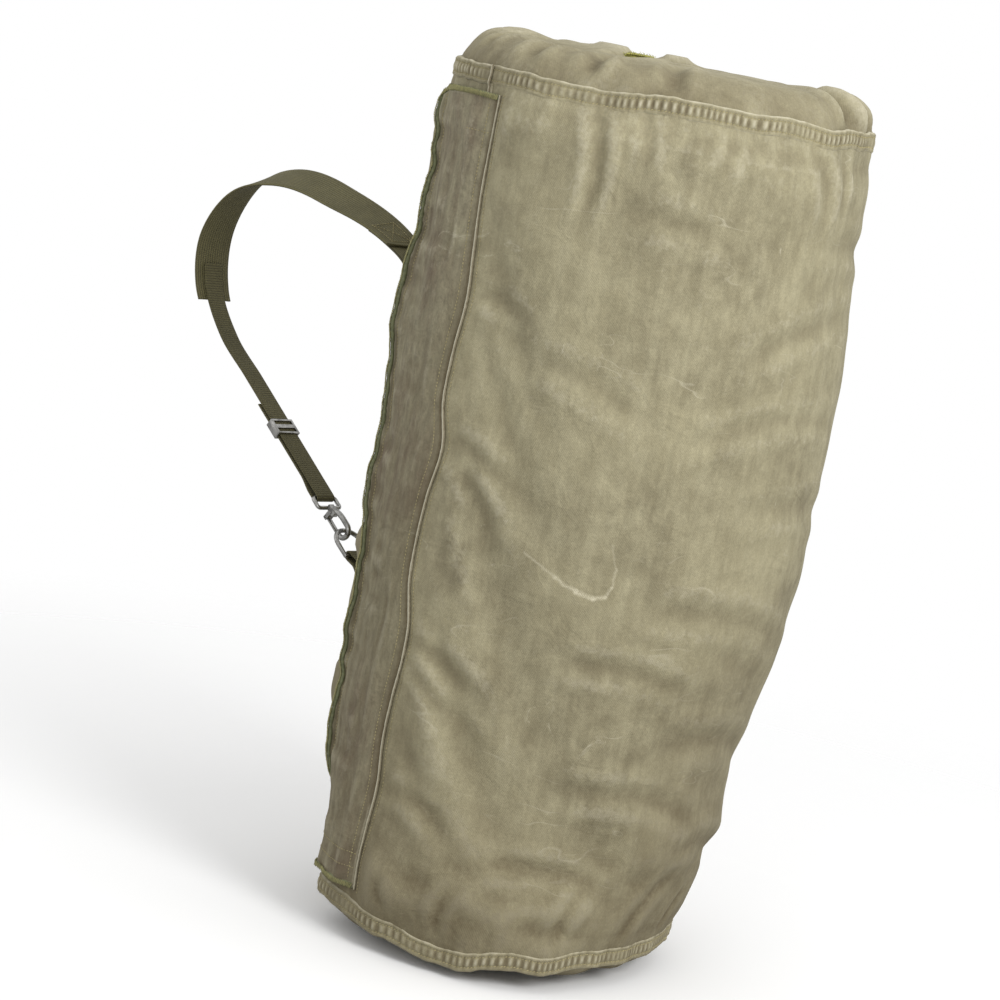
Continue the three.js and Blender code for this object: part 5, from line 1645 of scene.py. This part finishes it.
def route(guides, start=0.0, end=1.0, steps=240):
    """Even points along the guides' curve, and the strap's side vector at each."""
    places, sides = (np.array(column) for column in zip(*guides))
    share = np.linspace(0, 1, 201)
    length = np.concatenate([[0], np.cumsum(np.linalg.norm(np.diff(spline_at(places, share), axis=0), axis=1))])
    at = np.interp(np.linspace(start, end, steps) * length[-1], length, share)
    return spline_at(places, at), unit(spline_at(sides, at))


def loop_guides():
    """The whole loop: up off the bag, over a shoulder, down in front of it and back to the hook."""
    web = EYE_BAR + ABOVE_PULL * FOLD_RADIUS

    def on_web(distance):
        return guide((web + PULL * distance * MM) / MM)

    return [
        sewn_on(3.2, 562), sewn_on(3.5, 584), sewn_on(5.0, 612),
        guide([15, 3, 648], 0.5), guide([50, 0, 670], 0.1, 8), guide([132, 0, 694], 0, 20),
        guide([226, 0, 703], 0, 24), guide([287, 0, 680], 0, 18), guide([321, 0, 627], 0, 8),
        guide([315, 0, 572]),
        on_web(230), on_web(170), on_web(100), on_web(30), on_web(0),
    ]


def strap_mesh(name, points, sides, width, thickness, lift=0.0, cup=0.0, wobble=1.0):
    """A flat strap with rounded selvages along a route, in the strap's frame."""
    along = unit(np.gradient(points, axis=0))
    side = unit(sides - along * np.sum(sides * along, -1, keepdims=True))
    up = np.cross(along, side)
    half, thick = width / 2, thickness / 2
    flat = np.linspace(-1, 1, 11)
    top = [(half * s * 0.96, thick * (1 + 0.10 * abs(s) ** 8)) for s in flat]
    bottom = [(-a, -b) for a, b in top]
    section = np.array([(-half, 0), *top, (half, 0), *bottom])
    distance = np.concatenate([[0], np.cumsum(np.linalg.norm(np.diff(points, axis=0), axis=1))])
    uneven = noise_field(np.stack([distance, 0 * distance, 0 * distance], -1), 0.05, 101) * 1.0 * MM * wobble
    rings = []
    for a, b in section:
        bend = cup * ((a / half) ** 2 - 0.4)
        rings.append(points + side * (a + uneven)[:, None] + up * (b + lift + bend))
    rings = to_bag(np.stack(rings, 1))
    count, size = len(points), len(section)
    faces = grid_faces(count, size, round_columns=True).tolist()
    faces += [list(range(size)), [(count - 1) * size + i for i in range(size)][::-1]]
    uv = np.stack(np.broadcast_arrays(section[:, 0] + 0.001 * np.sign(section[:, 1]), distance[:, None]), -1)
    worn = np.broadcast_to(smoothstep(0.85, 1.0, np.abs(section[:, 0]) / half), (count, size))
    made = mesh_object(name, rings, faces, uv, worn=worn, soiled=0 * worn, gather=0 * worn)
    fix_normals(made)
    return made, (points, side, up, distance)


def strap_rows(built, offsets, start, end, lift):
    """Lines along a strap's face, for stitches: offsets across it, between two distances along it."""
    points, side, up, distance = built
    keep = (distance >= start) & (distance <= end)
    lines = []
    for offset in offsets:
        line = points[keep] + side[keep] * offset + up[keep] * lift
        lines.append((to_bag(line), way_to_bag(up[keep] * np.sign(lift))))
    return lines


def strap_box(built, half, start, end, lift):
    """A sewn box with a cross in it, on a strap's face."""
    points, side, up, distance = built

    def at(place, offset):
        where = np.array([np.interp(place, distance, column) for column in points.T])
        way = np.array([np.interp(place, distance, column) for column in side.T])
        out = np.array([np.interp(place, distance, column) for column in up.T])
        return where + way * offset + out * lift, out

    def line(from_place, to_place):
        shares = np.linspace(0, 1, 24)
        places = [
            at(from_place[0] + (to_place[0] - from_place[0]) * s, from_place[1] + (to_place[1] - from_place[1]) * s)
            for s in shares
        ]
        spots, outs = (np.array(column) for column in zip(*places))
        return to_bag(spots), way_to_bag(outs * np.sign(lift))

    corners = [(start, -half), (start, half), (end, half), (end, -half)]
    pairs = [(0, 1), (1, 2), (2, 3), (3, 0), (0, 2), (1, 3)]
    return [line(corners[a], corners[b]) for a, b in pairs]


class DUFFEL_OT_strap(bpy.types.Operator):
    """Makes the webbing of the shoulder strap, with its box stitches"""

    bl_idname = "duffel.strap"
    bl_label = "Shoulder Strap"

    def execute(self, context):
        self.make_patches()
        points, sides = route(loop_guides(), 0, 0.2, 70)
        made, anchor = strap_mesh("anchor_webbing", points, sides, 38 * MM, STRAP_THICKNESS, wobble=0)
        finish_piece(made, MATERIALS["webbing"], replaces=["strap_anchor_web"])
        rows = strap_rows(anchor, (-16 * MM, 16 * MM), 2 * MM, 54 * MM, 1.45 * MM)
        box = strap_box(anchor, 13 * MM, 6 * MM, 42 * MM, 1.45 * MM)
        sew("anchor_stitches", rows + box, "thread", "webbing", pitch=3.2, length=2.6, thickness=0.9, seed=21)

        lift = STRAP_THICKNESS + 1 * MM
        points, sides = route(loop_guides(), 0.15, 0.65, 330)
        made, wide = strap_mesh("wide_strap", points, sides, 48 * MM, STRAP_THICKNESS, lift, cup=0.8 * MM)
        finish_piece(made, MATERIALS["webbing"], replaces=["shoulder_strap"])
        length = wide[3][-1]
        rows = strap_box(wide, 14 * MM, 6 * MM, 40 * MM, lift + 1.45 * MM)
        rows += strap_box(wide, 11 * MM, length - 36 * MM, length - 6 * MM, lift + 1.45 * MM)
        sew("wide_strap_stitches", rows, "thread", "webbing", pitch=3.2, length=2.6, thickness=0.9, seed=22)
        self.make_narrow()
        self.make_chape()
        return {"FINISHED"}

    def make_patches(self):
        for name, node, (low, high) in (
            ("strap_patch_cloth", "strap_patch", STRAP_PATCH),
            ("ring_patch_cloth", "d_ring_patch", RING_PATCH),
        ):
            across = np.linspace(-PATCH_HALF, PATCH_HALF, 36)
            level = np.linspace(low, high, 40)
            side, z = np.meshgrid(across, level)
            azimuth = STRAP_AZIMUTH + side / RADIUS / DEG
            edge = np.maximum(np.abs(side) / PATCH_HALF, np.abs(z - (low + high) / 2) / ((high - low) / 2))
            raised = 1.5 * MM * (1 - 0.7 * smoothstep(0.93, 1.0, edge))
            raised = raised - 0.4 * MM * np.exp(-(((edge - PATCH_STITCHES) / 0.03) ** 2))
            points = on_bag(azimuth, RADIUS + 0.3 * MM + raised, z)
            made = mesh_object(
                name, points, grid_faces(*side.shape), np.stack([side, z], -1),
                worn=0.7 * smoothstep(0.9, 1, edge), soiled=0.1 + 0 * side, gather=0.3 * smoothstep(0.8, 0.9, edge),
            )
            thicken(made, 1.2 * MM)
            finish_piece(made, MATERIALS["canvas"], replaces=[node])
            frame_line = []
            s, h = PATCH_HALF * PATCH_STITCHES, (high - low) / 2 * PATCH_STITCHES
            corners = [(-s, -h), (s, -h), (s, h), (-s, h), (-s, -h)]
            t = np.linspace(0, 1, 20)
            for (a0, b0), (a1, b1) in zip(corners, corners[1:]):
                azimuths = STRAP_AZIMUTH + (a0 + (a1 - a0) * t) / RADIUS / DEG
                line = on_bag(azimuths, RADIUS + 1.7 * MM, (low + high) / 2 + b0 + (b1 - b0) * t)
                frame_line.append((line, unit(line * [1, 1, 0])))
            sew(name + "_stitches", frame_line, "thread", "canvas", pitch=3.2, length=2.5, thickness=0.8, seed=23)

    def make_narrow(self):
        """Two layers of narrow webbing round the hook's eye, one behind the other."""
        points, sides = route(loop_guides(), 0.60, 1.0, 260)
        bends = [
            EYE_BAR + ABOVE_PULL * FOLD_RADIUS * math.cos(a) - PULL * FOLD_RADIUS * math.sin(a)
            for a in np.linspace(0, math.pi, 14)[1:]
        ]

        def below(distance, drop):
            return EYE_BAR + PULL * distance * MM + ABOVE_PULL * (FOLD_RADIUS - drop)

        closing = 2 * FOLD_RADIUS - WEB_SPACING
        back = [
            below(distance, 2 * FOLD_RADIUS - closing * float(smoothstep(10, 32, distance)))
            for distance in np.arange(3, 135, 2.0)
        ]
        whole = np.vstack([points, bends, back])
        sides = np.vstack([sides, np.tile([0, 1, 0], (len(bends) + len(back), 1))])
        made, narrow = strap_mesh("narrow_webbing", whole, sides, 25 * MM, NARROW_THICKNESS, wobble=0)
        finish_piece(made, MATERIALS["narrow"], replaces=["adjusting_webbing"])

    def make_chape(self):
        """The webbing loop that holds the ring: up the bag, over the ring's bar and back down."""
        fold = 2.5 * MM + 0.3 * MM + STRAP_THICKNESS / 2 + 0.2 * MM

        def beside(sign, back):
            at = RING_BAR + ABOVE_PULL * sign * fold - PULL * back * MM
            return guide(at / MM, back / 26)

        outer = SEWN_DEPTH / MM + 2.5
        up, up_sides = route([
            sewn_on(3.2, 283), sewn_on(3.6, 303), sewn_on(4.8, 319, 0.9), beside(1, 12), beside(1, 0),
        ], steps=40)
        down, down_sides = route([
            beside(-1, 0), beside(-1, 12), sewn_on(outer + 2, 313, 0.9), sewn_on(outer, 297), sewn_on(outer, 283),
        ], steps=40)
        bends = np.array([
            RING_BAR + ABOVE_PULL * fold * math.cos(a) + PULL * fold * math.sin(a)
            for a in np.linspace(0, math.pi, 12)[1:-1]
        ])
        points = np.vstack([up, bends, down])
        sides = np.vstack([up_sides, np.tile([0, 1, 0], (len(bends), 1)), down_sides])
        made, built = strap_mesh("ring_chape", points, sides, 30 * MM, STRAP_THICKNESS, wobble=0)
        finish_piece(made, MATERIALS["narrow"], replaces=["d_ring_chape"])
        length = built[3][-1]
        rows = strap_box(built, 11 * MM, length - 26 * MM, length - 4 * MM, 1.45 * MM)
        sew("ring_chape_stitches", rows, "thread", "webbing", pitch=3.0, length=2.4, thickness=0.9, seed=24)


# ---- Metal fittings ----
class DUFFEL_OT_fittings(bpy.types.Operator):
    """Finishes the hook, gate, pin, ring and adjuster in satin steel"""

    bl_idname = "duffel.fittings"
    bl_label = "Metal Fittings"

    def execute(self, context):
        for node in ("snap_hook", "hook_gate", "gate_pin", "strap_adjuster", "d_ring"):
            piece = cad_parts[node]
            piece.data.materials.clear()
            piece.data.materials.append(MATERIALS["steel"])
            weld = piece.modifiers.new("Weld", "WELD")
            weld.merge_threshold = 1e-5
            bevel = piece.modifiers.new("Edges", "BEVEL")
            bevel.width = 0.35 * MM
            bevel.segments = 2
            bevel.limit_method = "ANGLE"
            bevel.angle_limit = 40 * DEG
            piece.data.shade_smooth()
        return {"FINISHED"}


# ---- The stage ----
class DUFFEL_OT_stage(bpy.types.Operator):
    """Sets the pale floor, the studio light and the camera"""

    bl_idname = "duffel.stage"
    bl_label = "Stage"

    def execute(self, context):
        scene = context.scene
        settings = scene.duffel_stage
        self.make_floor()
        self.make_light(settings)
        self.make_camera(settings)
        scene.view_settings.view_transform = "Standard"
        scene.view_settings.look = "None"
        return {"FINISHED"}

    def make_floor(self):
        turns = np.linspace(0, 2 * math.pi, 65)[:-1]
        ring = np.stack([40 * np.cos(turns), 40 * np.sin(turns), 0 * turns], -1)
        floor = mesh_object("floor", ring, [list(range(64))], smooth=False)
        material, make, shader = surface_material("floor_paint", 0.9)
        seen = make("ShaderNodeLightPath").outputs["Is Camera Ray"]
        paint = mix_colors(make, seen, (0.45, 0.45, 0.44, 1), (0.95, 0.95, 0.95, 1))
        material.node_tree.links.new(paint, shader.inputs["Base Color"])
        place = make("ShaderNodeTexCoord").outputs["Object"]
        away = make("ShaderNodeVectorMath", {0: place}, operation="LENGTH").outputs["Value"]
        material.node_tree.links.new(remap(make, away, 0.5, 1.5, 1.0, 0.0), shader.inputs["Alpha"])
        floor.data.materials.append(material)
        floor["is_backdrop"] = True

    def make_light(self, settings):
        world = bpy.data.worlds.new("studio")
        bpy.context.scene.world = world
        world.use_nodes = True
        background = world.node_tree.nodes["Background"]
        background.inputs["Color"].default_value = (1, 1, 1, 1)
        make = node_maker(world.node_tree)
        seen = make("ShaderNodeLightPath").outputs["Is Camera Ray"]
        height = make("ShaderNodeSeparateXYZ", {0: make("ShaderNodeTexCoord").outputs["Generated"]}).outputs[2]
        sky = remap(make, height, -0.5, 0.9, 0.62 * settings.sky, 1.12 * settings.sky)
        strength = make("ShaderNodeMix", {0: seen, 2: sky, 3: 1.0}).outputs[0]
        world.node_tree.links.new(strength, background.inputs["Strength"])
        for name, azimuth, height, distance, size, power in (
            ("key", 80, 1.9, 2.7, 1.3, settings.key),
            ("front", 20, 1.4, 3.2, 1.6, settings.key * 0.20),
            ("fill", -50, 1.2, 3.4, 1.8, settings.key * 0.10),
        ):
            light = bpy.data.lights.new(name, "AREA")
            light.shape = "DISK"
            light.size = size
            light.energy = power
            lamp = bpy.data.objects.new(name, light)
            lamp.location = on_bag(azimuth, distance, height).tolist()
            aim = Vector((0, 0, 0.45)) - Vector(lamp.location)
            lamp.rotation_euler = aim.to_track_quat("-Z", "Y").to_euler()
            bpy.context.scene.collection.objects.link(lamp)

    def make_camera(self, settings):
        data = bpy.data.cameras.new("camera")
        data.lens = settings.lens
        data.sensor_width = 36
        camera = bpy.data.objects.new("camera", data)
        turn, rise = settings.azimuth, settings.elevation
        way = Vector((math.sin(turn) * math.cos(rise), -math.cos(turn) * math.cos(rise), math.sin(rise)))
        facing = (-way).to_track_quat("-Z", "Y").to_matrix().to_4x4() @ Matrix.Rotation(settings.roll, 4, "Z")
        right, up = facing.col[0].xyz, facing.col[1].xyz
        aim = Vector((0, 0, 0.45)) - right * settings.shift_right + up * settings.shift_up
        camera.matrix_world = Matrix.Translation(aim + way * settings.distance) @ facing
        bpy.context.scene.collection.objects.link(camera)
        bpy.context.scene.camera = camera


# ---- Settings ----
def color(name, description, value):
    return FloatVectorProperty(name=name, description=description, default=value, subtype="COLOR", min=0, max=1)


class DuffelCanvas(bpy.types.PropertyGroup):
    light: color("Light canvas", "Canvas where it has faded most", (0.392, 0.356, 0.228))
    middle: color("Canvas", "Canvas where it has faded", (0.290, 0.258, 0.158))
    dark: color("Dark canvas", "Canvas that has kept its color", (0.182, 0.158, 0.095))
    # This pale colour is also the painted highlight on the seam bands' pucker crests.
    rubbed_and_highlight: color("Rubbed", "Threads that are rubbed pale", (0.560, 0.520, 0.390))
    # This dark colour is also the painted shade in the folds, hollows and grooves.
    soil: color("Soil", "Grime in the folds and at the bottom", (0.100, 0.074, 0.036))
    flap_tint: FloatVectorProperty(
        name="Flap tint", description="The flap's color, as a share of the canvas", default=(0.74, 0.745, 0.76)
    )
    fold_depth: FloatProperty(name="Fold depth", description="How deep the folds are", default=1.0, min=0, max=2)
    seam_folds: FloatProperty(
        name="Seam folds", description="How deep the gathers at the seams are", default=1.0, min=0, max=2
    )


class DuffelFittings(bpy.types.PropertyGroup):
    webbing: color("Webbing", "Olive webbing", (0.150, 0.135, 0.060))
    # Painted shade between the webbing's ribs.
    webbing_groove_shade: color("Webbing groove shade", "Between the webbing's ribs", (0.045, 0.040, 0.020))
    edge_thread: color("Edge thread", "Overlocked edges of the flap", (0.165, 0.175, 0.090))
    tab_thread: color("Tab thread", "Overlocked edge of the tab", (0.400, 0.385, 0.110))
    thread: color("Thread", "Stitches", (0.360, 0.310, 0.160))
    steel: color("Steel", "Hook, ring and adjuster", (0.400, 0.395, 0.375))
    zip_metal: color("Zip metal", "Teeth, slider and pull", (0.420, 0.340, 0.180))


class DuffelStage(bpy.types.PropertyGroup):
    azimuth: FloatProperty(name="Azimuth", description="Camera's azimuth", default=41.9 * DEG, subtype="ANGLE")
    elevation: FloatProperty(name="Elevation", description="Camera's elevation", default=9.2 * DEG, subtype="ANGLE")
    roll: FloatProperty(name="Roll", description="Camera's roll", default=10.6 * DEG, subtype="ANGLE")
    distance: FloatProperty(name="Distance", description="Camera's distance", default=3.2, unit="LENGTH")
    lens: FloatProperty(name="Lens", description="Focal length in millimetres", default=113.8)
    shift_right: FloatProperty(name="Aim right", description="Aim to the right", default=0.094, unit="LENGTH")
    shift_up: FloatProperty(name="Aim up", description="Aim upwards", default=0.0075, unit="LENGTH")
    sky: FloatProperty(name="Sky", description="Strength of the light from all round", default=0.85, min=0)
    key: FloatProperty(name="Key", description="Power of the key light", default=55.0, min=0, unit="POWER")


OPERATORS = (
    DUFFEL_OT_tube, DUFFEL_OT_end_panels, DUFFEL_OT_seams, DUFFEL_OT_flap, DUFFEL_OT_zip, DUFFEL_OT_strap,
    DUFFEL_OT_fittings, DUFFEL_OT_stage,
)


class DUFFEL_PT_panel(bpy.types.Panel):
    """Lists the pieces of the bag"""

    bl_idname = "DUFFEL_PT_panel"
    bl_label = "Duffel"
    bl_space_type = "VIEW_3D"
    bl_region_type = "UI"
    bl_category = "Duffel"

    def draw(self, context):
        for name in ("duffel_canvas", "duffel_fittings", "duffel_stage"):
            box = self.layout.box()
            settings = getattr(context.scene, name)
            for key in settings.__annotations__:
                box.prop(settings, key)
        for operator in OPERATORS:
            self.layout.operator(operator.bl_idname)


CLASSES = (DuffelCanvas, DuffelFittings, DuffelStage, *OPERATORS, DUFFEL_PT_panel)


def register():
    for cls in CLASSES:
        bpy.utils.register_class(cls)
    bpy.types.Scene.duffel_canvas = PointerProperty(type=DuffelCanvas)
    bpy.types.Scene.duffel_fittings = PointerProperty(type=DuffelFittings)
    bpy.types.Scene.duffel_stage = PointerProperty(type=DuffelStage)


def unregister():
    for name in ("duffel_canvas", "duffel_fittings", "duffel_stage"):
        delattr(bpy.types.Scene, name)
    for cls in reversed(CLASSES):
        bpy.utils.unregister_class(cls)


def main():
    register()
    make_materials()
    simulate_folds()
    for name in ("tube", "end_panels", "seams", "flap", "zip", "strap", "fittings", "stage"):
        getattr(bpy.ops.duffel, name)()
    plain = [[list(map(float, corner)) for corner in bounds] for bounds in (CAD_BOUNDS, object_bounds())]


if __name__ == "__main__":
    main()
